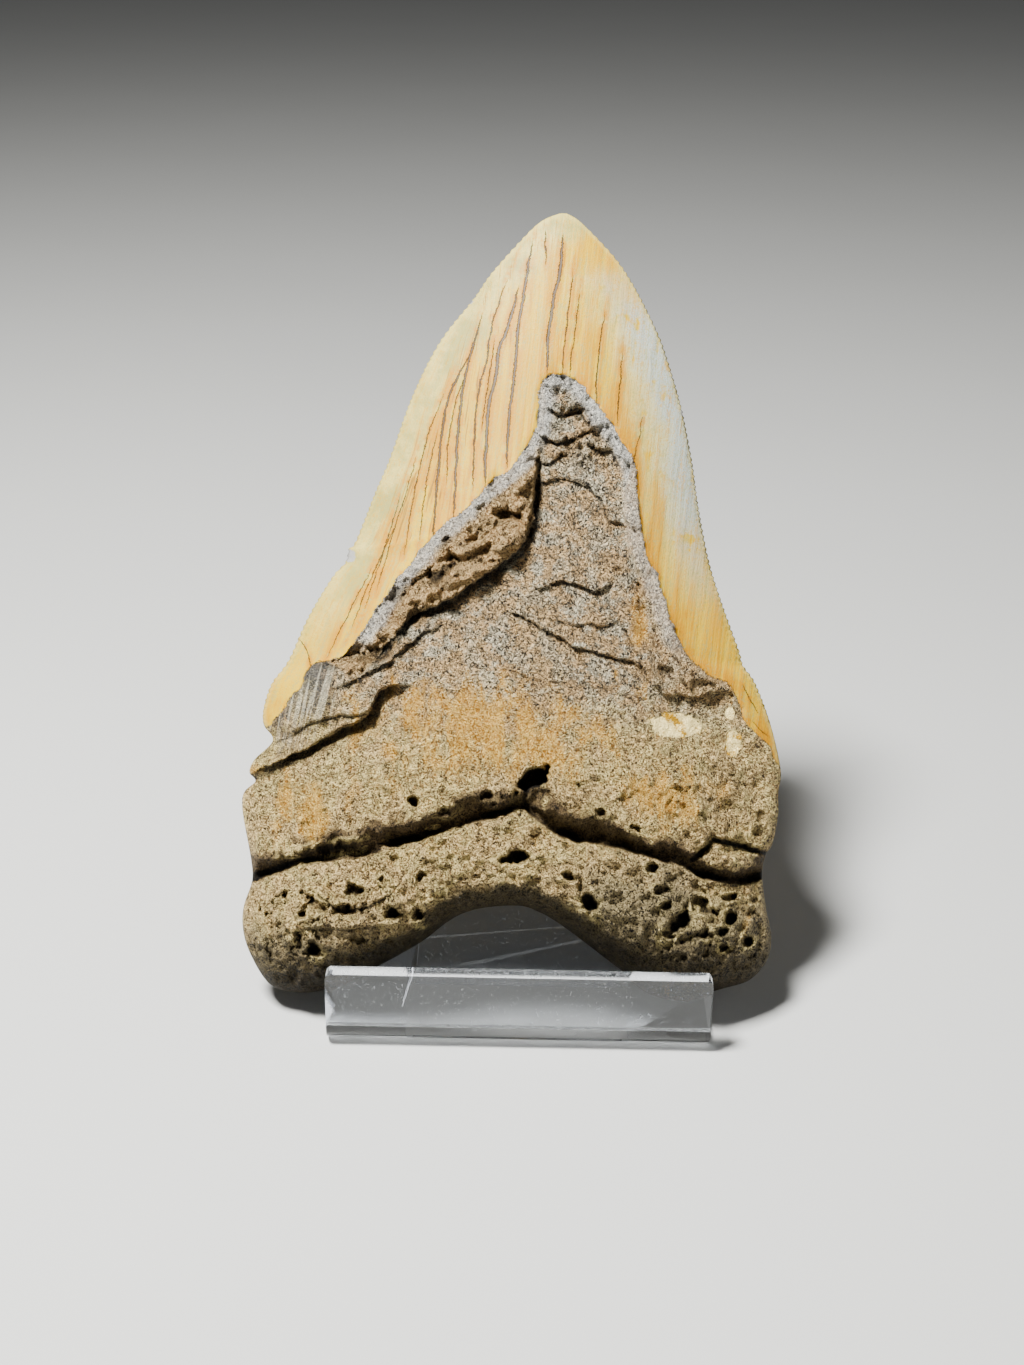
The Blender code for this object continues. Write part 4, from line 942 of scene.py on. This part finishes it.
def bare_coat(s, look, fine, grit, mottle):
    """Colour of all that the enamel has left bare: dentine, ridge, slab and root."""
    place = s.face_place()
    x, w = s.axis(place, 0), s.axis(place, 1)
    tan, dark = fibres(s, fine, grit)
    shade = s.noise(place, 9.0, 4.0, 0.62, 0.6)
    brown = s.mix(tan, look.ridge_dark, look.ridge_light)

    dentine = s.mix(s.step(mottle, 0.38, 0.62), look.dentine, look.dentine_light)
    grains = s.mix(s.ragged(mottle, 0.42, 0.56, fine=0.4), look.grain, look.grain_tan)
    dentine = s.mix(0.85 * tan, dentine, grains)
    dentine = s.mix(0.4 * (1 - s.ragged(shade, 0.38, 0.52, mottle=0.4)), dentine, brown)
    dentine = s.mix(0.9 * dark, dentine, look.dentine_dark)
    chalky = s.ragged(s.layer("enamel"), -3.7, -1.7, mottle=3.0, grit=1.5) * s.step(w, 64.0, 70.0)
    dentine = s.mix(0.85 * chalky, dentine, s.mix(tan, look.chalk_dark, look.chalk))
    ridge = s.mix(s.ragged(mottle, 0.40, 0.60, grit=0.5), look.ridge_dark, look.ridge)
    ridge = s.mix(0.75 * tan, ridge, look.ridge_light)
    ridge = s.mix(0.6 * dark, ridge, look.root_shade)
    dentine = s.mix(s.layer("ridge") * (1 - 0.8 * chalky), dentine, ridge)
    dentine = s.mix(0.45 * s.layer("ledge"), dentine, ridge)
    band = s.noise(s.join(0.97 * x - 0.22 * w, (0.97 * w + 0.22 * x) * 0.06, 0.0), 2.4, 2.0, 0.5, 0.3)
    slab = s.mix(s.ragged(band, 0.40, 0.62, grit=0.4), look.slab_dark, look.slab_grey)
    slab = s.mix(0.85 * s.step(s.vein(band), 0.92, 0.985), slab, look.slab)
    slab_end = 1 - s.ragged(x, -38.0, -32.0, mottle=4)
    dentine = s.mix(0.9 * s.layer("slab") * slab_end, dentine, slab)

    root = s.mix(s.step(mottle, 0.36, 0.62), look.root_dark, look.root)
    root = s.mix(0.9 * tan, root, look.root_pale)
    browner = s.ragged(shade + 0.06 * (1 - s.step(w, 22.0, 34.0)), 0.47, 0.59, mottle=0.5)
    root = s.mix(0.65 * browner, root, brown)
    root = s.mix(0.9 * dark, root, look.root_shade)
    # Painted shade, darker towards the bottom of the root's lobes and along the arch, with light grains
    # showing through it.
    higher = 5 * s.step(x, 26.0, 36.0) + 12 * s.step(x, 10.0, 18.0) * (1 - s.step(x, 30.0, 38.0))
    low = 1 - s.ragged(w - higher, 5.0, 19.0, mottle=16)
    arch = 1 - s.ragged(s.layer("foot_edge"), 2.8, 5.8, mottle=4)
    lit = (0.6 - 0.45 * arch) * tan * s.step(w, -2.0, 18.0)
    root = s.mix(0.95 * (low | arch), root, s.mix(lit, look.lobe_shade, look.lobe_grain))
    bare = s.mix(s.ragged(w, 44.0, 62.0, mottle=26), root, dentine)

    run = s.noise(s.join(x, w * 0.4, 0.0), 3.6, 4.0, 0.6, 0.4)
    stained = s.ragged(0.9 * s.layer("ochre") + 2.4 * (run - 0.5), 0.34, 0.90, fine=0.9)
    bare = s.mix(0.75 * stained, bare, s.mix(tan, look.ochre, look.ochre_light))
    cream = s.ragged(s.layer("cream"), 0.42, 0.50, mottle=0.9, grit=0.5)
    patch = s.mix(s.ragged(mottle, 0.50, 0.64, fine=0.4), look.root_pale, look.honey)
    bare = s.mix(cream, bare, patch)
    # Painted shade deep in the cracks, holes and lobe pits, where light does not reach.
    deep = s.ragged(s.layer("carved"), 0.5, 2.2, grit=1.2)
    # Painted shadow just below the broken lips and cliffs, and between the apex blocks.
    foot = 0.8 * s.ragged(s.layer("foot"), 0.35, 0.9, grit=1.0)
    # Painted shade on the underside of the root's brow.
    under = s.ragged(s.layer("under"), 0.10, 0.55, grit=0.7, mottle=0.5)
    bare = s.mix(0.88 * under, bare, s.mix(0.4 * tan, look.under, look.root_dark))
    rims = s.layer("rim") * (1 - s.step(w, 28.0, 42.0)) * s.step(mottle, 0.42, 0.56)
    bare = s.mix(0.7 * rims * tan, bare, look.root_pale)
    return s.mix(0.95 * (deep | foot), bare, look.hollow_shade), cream, tan - dark


def fossil_material(look):
    """Cream cracked enamel, brown ridge, dark speckled dentine and pale gritty root, in one material."""
    s = Shader("fossil tooth")
    place = s.face_place()
    fine = s.noise(place, 0.42, 2.0, 0.7, 0.8)
    grit = s.noise(place, 0.95, 3.0, 0.68, 1.8)
    mottle = s.noise(place, 3.6, 4.0, 0.6, 0.3)
    s.remember(fine=fine, grit=grit, mottle=mottle)
    enamel, line, streak = enamel_coat(s, look, fine, mottle)
    bare, cream, thread = bare_coat(s, look, fine, grit, mottle)
    on_enamel = s.ragged(s.layer("enamel"), -0.08, 0.08, grit=1.4)
    grains = 3.0 * grit + 1.6 * fine + 0.4 * thread + 3.4 * s.noise(place, 2.3, 3.0, 0.6)
    relief = grains * (1 - 0.75 * cream) + 0.2 * cream
    height = s.blend(on_enamel, relief, 0.26 * streak - 0.22 * line + 0.06 * grit + 0.05 * fine)
    s.set(
        Specular_IOR_Level=0.15,
        Base_Color=s.mix(on_enamel, bare, enamel),
        Roughness=s.blend(on_enamel, 0.72 - 0.2 * fine, 0.48 + 0.2 * (streak - 0.5)),
        Normal=s.bump(height, MM),
    )
    return s.material


def fold(s, on_tongue, bend_start):
    """(back, up) on the sheet's upper side, at a distance s from the lip's top edge."""
    if s <= LIP_WALL:
        return SHEET, LIP_HEIGHT - s
    centre = (SHEET + BEND_RADIUS, SHEET + BEND_RADIUS)
    if s <= LIP_WALL + LIP_ARC:
        angle = math.pi + (s - LIP_WALL) / BEND_RADIUS
        return centre[0] + BEND_RADIUS * math.cos(angle), centre[1] + BEND_RADIUS * math.sin(angle)
    back = centre[0] + s - LIP_WALL - LIP_ARC
    if not on_tongue or back <= bend_start:
        return back, SHEET
    angle = min((back - bend_start) / BEND_RADIUS, TONGUE_TURN)
    left = back - bend_start - BEND_RADIUS * angle
    return (bend_start + BEND_RADIUS * math.sin(angle) + left * math.cos(angle),
            SHEET + BEND_RADIUS * (1 - math.cos(angle)) + left * math.sin(angle))


def sheet_blank(tongue_foot, bend_steps, corner_steps):
    """The sheet as an open surface: a flat grid, cut round the tongue and folded."""
    bend_start = tongue_foot - BEND_RADIUS * math.tan(TONGUE_TURN / 2)
    flat_start = LIP_WALL + LIP_ARC
    root = flat_start + bend_start - SHEET - BEND_RADIUS
    tongue_end = root + TONGUE_LENGTH
    sheet_end = flat_start + BASE_DEPTH - SHEET - BEND_RADIUS
    stops = [0.0]
    for start, arc in ((LIP_WALL, LIP_ARC), (root, BEND_RADIUS * TONGUE_TURN)):
        stops += [start + arc * i / bend_steps for i in range(bend_steps + 1)]
    stops += [tongue_end, tongue_end + KERF, sheet_end]
    first_tongue_row = bend_steps + 2
    last_tongue_row = len(stops) - 3

    def columns(s):
        """The six places across the sheet, of its edges and of the tongue's kerfs."""
        share = min(max((s - root) / TONGUE_LENGTH, 0), 1)
        half = (TONGUE_WIDTH + (TONGUE_TOP_WIDTH - TONGUE_WIDTH) * share) / 2
        return [-LIP_WIDTH / 2, -half - KERF, -half, half, half + KERF, LIP_WIDTH / 2]

    bm = bmesh.new()
    made = bmesh.ops.create_grid(bm, x_segments=5, y_segments=len(stops) - 1, size=1)["verts"]
    made.sort(key=lambda vert: (round(vert.co.y * 100), round(vert.co.x * 100)))
    at = {}
    for index, vert in enumerate(made):
        row, column = divmod(index, 6)
        vert.co = (columns(stops[row])[column], stops[row], 0)
        at[row, column] = vert
    kerf = []
    for face in bm.faces:
        middle = face.calc_center_median()
        half = columns(middle.y)[3]
        beside = half < abs(middle.x) < half + KERF and root < middle.y < tongue_end + KERF
        beyond = abs(middle.x) < half + KERF and tongue_end < middle.y < tongue_end + KERF
        if beside or beyond:
            kerf.append(face)
    bmesh.ops.delete(bm, geom=kerf, context="FACES")

    tongue = {at[row, column] for row in range(first_tongue_row, last_tongue_row + 1) for column in (2, 3)}
    rounded = (
        (0, (0, 5), LIP_CORNER),
        (len(stops) - 1, (0, 5), BASE_CORNER),
        (last_tongue_row, (2, 3), TONGUE_CORNER),
    )
    for row, pair, radius in rounded:
        corners = [at[row, column] for column in pair]
        made = bmesh.ops.bevel(bm, geom=corners, offset=radius, segments=corner_steps, profile=0.5,
                               affect="VERTICES")
        if row == last_tongue_row:
            tongue |= set(made["verts"])
    for vert in bm.verts:
        x, s, _ = vert.co
        vert.co = (x, *fold(s, vert in tongue, bend_start))
    mesh = bpy.data.meshes.new("sheet")
    bm.to_mesh(mesh)
    bm.free()
    return mesh


def tongue_edges(bm, tongue_foot):
    """The front edges along the tongue's two sides."""
    slope = Vector((0, math.sin(LEAN), math.cos(LEAN)))
    face_out = Vector((0, -math.cos(LEAN), math.sin(LEAN)))
    foot = Vector((0, tongue_foot, SHEET))
    found = []
    for edge in bm.edges:
        a, b = (vert.co for vert in edge.verts)
        on_face = all(abs((point - foot).dot(face_out)) < 0.02 for point in (a, b))
        run = abs((b - a).normalized().dot(slope))
        if on_face and run > 0.95 and (b - a).length > TONGUE_LENGTH / 2:
            found.append(edge)
    return found


def stand_mesh(tongue_foot, bend_steps, corner_steps, polish):
    """The whole sheet with its slanted tongue edges, and every other edge broken by the polish width."""
    helper = scene_object("helper", sheet_blank(tongue_foot, bend_steps, corner_steps))
    thick = helper.modifiers.new("Sheet", "SOLIDIFY")
    thick.thickness = SHEET
    thick.use_even_offset = True
    thick.offset = -1
    mesh = evaluated_copy(helper)
    helper.modifiers.clear()
    bm = bmesh.new()
    bm.from_mesh(mesh)
    bmesh.ops.bevel(bm, geom=tongue_edges(bm, tongue_foot), offset=TONGUE_CHAMFER, segments=1,
                    affect="EDGES", clamp_overlap=True, material=1)
    bm.to_mesh(mesh)
    bm.free()
    helper.data = mesh
    soft = helper.modifiers.new("Polished edges", "BEVEL")
    soft.width = polish
    soft.segments = 3
    soft.limit_method = "ANGLE"
    soft.angle_limit = math.radians(42)
    finished = evaluated_copy(helper)
    bpy.data.objects.remove(helper)
    return finished


def acrylic_material(look, tongue_foot):
    """Clear sheet with dust, hair scratches, a worn left edge, and a painted highlight along the tongue's
    bend.
    """
    s = Shader("clear acrylic")
    place = s.own_place()
    lip = lip_foot()
    x = s.axis(place, 0) / MM - float(lip[0] - LIP_WIDTH / 2)
    back = s.axis(place, 1) / MM - float(lip[1])
    up = s.axis(place, 2) / MM
    fine = s.noise(place, 0.4 * MM, 3.0, 0.7)
    dust = s.noise(place, 1.6 * MM, 5.0, 0.75)
    s.remember(fine=fine, dust=dust)
    on_lip = 1 - s.step(back, SHEET + 0.1, SHEET + 0.3)
    worn = 1 - s.ragged(x + 0.45 * abs(up - WORN_EDGE_UP), 1.1, 1.8, fine=1.6)
    trail = 1 - s.step(abs(x - 3.0) + 0.4 * abs(up - WORN_EDGE_UP - 3), 0.8, 2.0)
    trail = trail * s.step(fine, 0.60, 0.68)
    scratch = abs(x - SCRATCH_AT - SCRATCH_SLOPE * (up - SCRATCH_LOW) - 0.8 * s.noises["dust"])
    scratch = (1 - s.step(scratch, 0.03, 0.11)) * s.step(up, SCRATCH_LOW, SCRATCH_LOW + 0.6)
    specks = s.ragged(fine, 0.70, 0.76, dust=0.7)
    # A frosted band along the tongue's bend: a painted highlight for the bend's bright reflection.
    bend = 1 - s.step(abs(back - float(tongue_foot) + 1.2), 1.0, 2.2)
    bend = bend * (1 - s.step(up, SHEET + 1.5, SHEET + 3.0))
    bend = bend * (1 - s.step(abs(x - LIP_WIDTH / 2), 20.0, 20.4))
    s.set(
        Base_Color=look.tint,
        Transmission_Weight=1.0,
        IOR=ACRYLIC_IOR,
        Roughness=0.015 + 0.16 * s.step(dust, 0.66, 0.82),
    )
    marks = on_lip * (0.9 * worn | 0.8 * trail | 0.75 * scratch)
    # The wear marks, the dust specks and the painted highlight of the bend, laid on as a matt frost coat.
    s.cover(marks | 0.5 * specks | 0.5 * bend * s.step(fine, 0.2, 0.7), look.frost, 0.6)
    return s.material


def frosted_material(look):
    """Sawn edge of the sheet: the same plastic, ground matt along its length."""
    s = Shader("frosted acrylic")
    place = s.own_place()
    lines = s.noise(s.spread(place, (1.0, 0.08, 0.08)), 0.0004, 3.0, 0.6)
    s.set(
        Base_Color=look.frost,
        Transmission_Weight=0.25,
        IOR=ACRYLIC_IOR,
        Roughness=0.42 + 0.2 * lines,
        Normal=s.bump(0.05 * lines, MM),
    )
    return s.material


def floor_material(look):
    """Matt pale paper with the faintest unevenness."""
    s = Shader("pale floor")
    place = s.own_place()
    cloud = s.noise(place, 0.12, 3.0, 0.5)
    shade = tuple(0.96 * value for value in look.floor)
    s.set(Base_Color=s.mix(cloud, shade, look.floor), Roughness=0.85 + 0.05 * cloud)
    return s.material


def colour_value(name, description, *display):
    """A colour setting whose default is given as display values from 0 to 255."""
    return FloatVectorProperty(name=name, description=description, subtype="COLOR", size=3, min=0.0,
                               max=1.0, default=shown(*display))


def count_value(name, description, default, least):
    """A whole-number setting."""
    return IntProperty(name=name, description=description, default=default, min=least)


def amount_value(name, description, default, least=0.0, **more):
    """A setting for a length, a power or a strength."""
    return FloatProperty(name=name, description=description, default=default, min=least, **more)


class ToothSettings(PropertyGroup):
    """Fineness and colours of the tooth."""

    columns: count_value("Columns", "Faces across each side before thinning", 380, 60)
    rows: count_value("Rows", "Faces from foot to tip before thinning", 480, 80)
    triangles: count_value("Triangles", "Triangles left after thinning", 194000, 5000)
    enamel: colour_value("Enamel", "Cream of the crown's middle", 182, 147, 20)
    honey: colour_value("Enamel streak", "Yellower streaks in the cream", 172, 127, 6)
    sage: colour_value("Left side", "Greenish grey of the crown's left side", 138, 132, 74)
    cool: colour_value("Right side", "Bluish grey of the crown's right side", 150, 158, 150)
    pale: colour_value("Pale rim", "Thin enamel at the cutting edges", 178, 162, 90)
    mist: colour_value("Right middle", "Greenish cream beside the bluish grey", 178, 173, 122)
    amber: colour_value("Amber stain", "Stain along the cracks", 160, 104, 0)
    crack: colour_value("Crack", "Hairline cracks", 42, 31, 21)
    crack_fill: colour_value("Crack filling", "Grey earth in the wider cracks", 67, 62, 55)
    dentine: colour_value("Dentine", "Bare dentine", 90, 80, 68)
    dentine_light: colour_value("Light dentine", "Worn bare dentine", 128, 112, 86)
    # Partly painted shade in the pits between the grains.
    dentine_dark: colour_value("Dark dentine", "Pits between the grains", 20, 18, 15)
    grain: colour_value("Grain", "Tan grains in the dentine", 255, 242, 204)
    chalk: colour_value("Chalk", "Pale grey where the enamel has just broken off", 230, 228, 216)
    chalk_dark: colour_value("Grey chalk", "Darker grain of that strip", 140, 138, 132)
    ridge: colour_value("Ridge", "Brown of the raised ridge", 166, 122, 70)
    ridge_light: colour_value("Ridge grain", "Tan grains on the ridge", 250, 212, 148)
    ridge_dark: colour_value("Ridge shade", "Dark parts of the ridge", 78, 57, 34)
    slab: colour_value("Slab", "Light fibres of the lower slab", 214, 208, 182)
    slab_dark: colour_value("Slab shade", "Dark fibres of the lower slab", 50, 49, 47)
    root: colour_value("Root", "Gritty root", 224, 178, 102)
    root_pale: colour_value("Pale grit", "Light grains of the root", 255, 230, 152)
    root_dark: colour_value("Dark root", "Greyer parts of the root", 142, 112, 74)
    # Partly painted shade in the pits between the grains.
    root_shade: colour_value("Dark grit", "Pits between the root's grains", 38, 30, 17)
    # Painted shade on the underside of the root's lobes.
    lobe_shade: colour_value("Lobe", "Underside of the root's lobes", 20, 16, 8)
    ochre: colour_value("Ochre stain", "Stain on the bare dentine", 184, 122, 26)
    ochre_light: colour_value("Light ochre", "Stained light grains", 236, 188, 84)
    lobe_grain: colour_value("Lobe grain", "Light grains on the lobes", 214, 192, 140)
    # Painted shade under the root's brow.
    under: colour_value("Under the brow", "Rough underside of the root's brow", 26, 21, 12)
    grain_tan: colour_value("Tan grain", "Browner grains in the dentine", 244, 200, 138)
    slab_grey: colour_value("Slab grey", "Middle grey of the lower slab", 98, 97, 92)
    # Painted shade deep in cracks, holes and pits, and painted shadow just below ledges and cliffs.
    hollow_shade: colour_value("Hollow", "Dirt deep in cracks and holes", 10, 8, 5)


class StandSettings(PropertyGroup):
    """Fineness and colours of the stand."""

    bend_steps: count_value("Bend steps", "Faces round each bend", 16, 3)
    corner_steps: count_value("Corner steps", "Faces round each corner", 10, 2)
    polish: amount_value("Polished edge", "Width of the broken edges, in millimetres", 0.3, 0.05, max=0.8)
    tint: colour_value("Tint", "Clear sheet", 246, 249, 253)
    frost: colour_value("Frost", "Sawn slanted edges", 222, 226, 234)


class StageSettings(PropertyGroup):
    """Floor, light and camera."""

    floor: colour_value("Floor", "Pale floor", 175, 175, 171)
    key_power: amount_value("Key light", "Power of the upper left light", 22.0, unit="POWER")
    fill_power: amount_value("Fill light", "Power of the soft front light", 1.2, unit="POWER")
    sky: amount_value("Sky", "Strength of the even light all round", 0.10)


def add_piece(name, mesh, node):
    """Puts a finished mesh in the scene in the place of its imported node."""
    piece = scene_object(name, mesh)
    mesh.shade_smooth()
    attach(piece, "root")
    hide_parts(node)
    return piece


class TOOTH_OT_tooth(Operator):
    """Add the tooth with its enamel, ledges, cracks and gritty root"""

    bl_idname = "tooth.add_tooth"
    bl_label = "Add tooth"
    bl_options = {"REGISTER", "UNDO"}

    def execute(self, context):
        look = context.scene.tooth_look
        mesh = tooth_mesh(look.columns, look.rows, look.triangles)
        points = points_of(mesh)
        lowest = float(points[:, 2].min())
        points = (points + tooth_move(lowest)) * MM
        low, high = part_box("megalodon_tooth")
        mesh.vertices.foreach_set("co", np.clip(points, low, high).astype(np.float32).ravel())
        mesh.update()
        mesh.materials.clear()
        mesh.materials.append(fossil_material(look))
        piece = add_piece("fossil_tooth", mesh, "megalodon_tooth")
        piece["lowest"] = lowest
        return {"FINISHED"}


class TOOTH_OT_stand(Operator):
    """Add the clear stand, bent from one sheet, with polished and frosted edges"""

    bl_idname = "tooth.add_stand"
    bl_label = "Add stand"
    bl_options = {"REGISTER", "UNDO"}

    def execute(self, context):
        look = context.scene.stand_look
        tooth = bpy.data.objects["fossil_tooth"]
        lift = tooth_move(tooth["lowest"])[2]
        tongue_foot = TOOTH_BACK + (SHEET - lift) * math.tan(LEAN) + GAP / math.cos(LEAN)
        mesh = stand_mesh(tongue_foot, look.bend_steps, look.corner_steps, look.polish)
        mesh.transform(Matrix.Scale(MM, 4) @ Matrix.Translation(lip_foot()))
        mesh.materials.append(acrylic_material(look, tongue_foot))
        mesh.materials.append(frosted_material(look))
        self.frost_strips(mesh)
        piece = add_piece("clear_stand", mesh, "acrylic_stand")
        piece.data.set_sharp_from_angle(angle=math.radians(30))
        return {"FINISHED"}

    def frost_strips(self, mesh):
        """Gives the long slanted faces beside the tongue the second material."""
        for face in mesh.polygons:
            slanted = 0.4 < abs(face.normal.x) < 0.95 and abs(face.normal.y) > 0.2
            if slanted and face.area > TONGUE_LENGTH * MM * MM:
                face.material_index = 1


class TOOTH_OT_stage(Operator):
    """Add the pale floor, the soft lights and the camera"""

    bl_idname = "tooth.add_stage"
    bl_label = "Add stage"
    bl_options = {"REGISTER", "UNDO"}

    def execute(self, context):
        look = context.scene.stage_look
        self.add_floor(look)
        self.add_light("key", look.key_power, KEY_SIZE, KEY_PLACE)
        self.add_light("fill", look.fill_power, FILL_SIZE, FILL_PLACE)
        world = bpy.data.worlds.new("soft room")
        world.use_nodes = True
        background = world.node_tree.nodes["Background"]
        background.inputs["Color"].default_value = SKY_COLOUR
        background.inputs["Strength"].default_value = look.sky
        context.scene.world = world
        self.add_camera(context)
        return {"FINISHED"}

    def add_floor(self, look):
        bpy.ops.mesh.primitive_plane_add(size=FLOOR_SIZE, location=(0, 0, CAD_BOX[0][2]))
        floor = bpy.context.object
        floor.name = "floor"
        floor.data.materials.append(floor_material(look))

    def add_light(self, name, power, size, place):
        light = bpy.data.lights.new(name, "AREA")
        light.energy = power
        light.size = size
        made = scene_object(name, light)
        made.location = place
        made.rotation_euler = (Vector(LIGHT_AIM) - Vector(place)).to_track_quat("-Z", "Y").to_euler()

    def add_camera(self, context):
        flat = placed(np.array([0.0, 1.0, 0.0]), np.array([EYE_HEIGHT, EYE_HEIGHT, EYE_HEIGHT + 1.0]),
                      np.full(3, RIM_DEPTH))
        right, up = Vector(flat[1] - flat[0]), Vector(flat[2] - flat[0])
        back = right.cross(up)
        eye = placed(np.zeros(1), np.array([EYE_HEIGHT]), np.array([RIM_DEPTH + EYE_DISTANCE]))[0]
        piece = bpy.data.objects["fossil_tooth"]
        lens = bpy.data.cameras.new("camera")
        lens.sensor_fit = "VERTICAL"
        lens.sensor_height = SENSOR_HEIGHT
        lens.lens = lens.sensor_height * EYE_DISTANCE / PHOTO_SCALE / PHOTO_TALL
        lens.clip_start = 0.01
        camera = scene_object("camera", lens)
        move = Vector(tooth_move(piece["lowest"]))
        turn = Matrix((right, up, back)).transposed().to_4x4()
        camera.matrix_world = Matrix.Translation((Vector(eye) + move) * MM) @ turn
        context.scene.camera = camera


class TOOTH_PT_panel(Panel):
    """The settings and the steps that build the scene"""

    bl_idname = "TOOTH_PT_panel"
    bl_label = "Tooth on a stand"
    bl_space_type = "VIEW_3D"
    bl_region_type = "UI"
    bl_category = "Tooth"

    def draw(self, context):
        groups = (
            (context.scene.tooth_look, ToothSettings, TOOTH_OT_tooth),
            (context.scene.stand_look, StandSettings, TOOTH_OT_stand),
            (context.scene.stage_look, StageSettings, TOOTH_OT_stage),
        )
        for look, group, step in groups:
            column = self.layout.column()
            for name in group.__annotations__:
                column.prop(look, name)
            column.operator(step.bl_idname)


CLASSES = (ToothSettings, StandSettings, StageSettings, TOOTH_OT_tooth, TOOTH_OT_stand, TOOTH_OT_stage,
           TOOTH_PT_panel)


def register():
    for made in CLASSES:
        bpy.utils.register_class(made)
    bpy.types.Scene.tooth_look = PointerProperty(type=ToothSettings)
    bpy.types.Scene.stand_look = PointerProperty(type=StandSettings)
    bpy.types.Scene.stage_look = PointerProperty(type=StageSettings)


def unregister():
    del bpy.types.Scene.stage_look
    del bpy.types.Scene.stand_look
    del bpy.types.Scene.tooth_look
    for made in reversed(CLASSES):
        bpy.utils.unregister_class(made)


def main():
    register()
    bpy.ops.tooth.add_tooth()
    bpy.ops.tooth.add_stand()
    bpy.ops.tooth.add_stage()


if __name__ == "__main__":
    main()
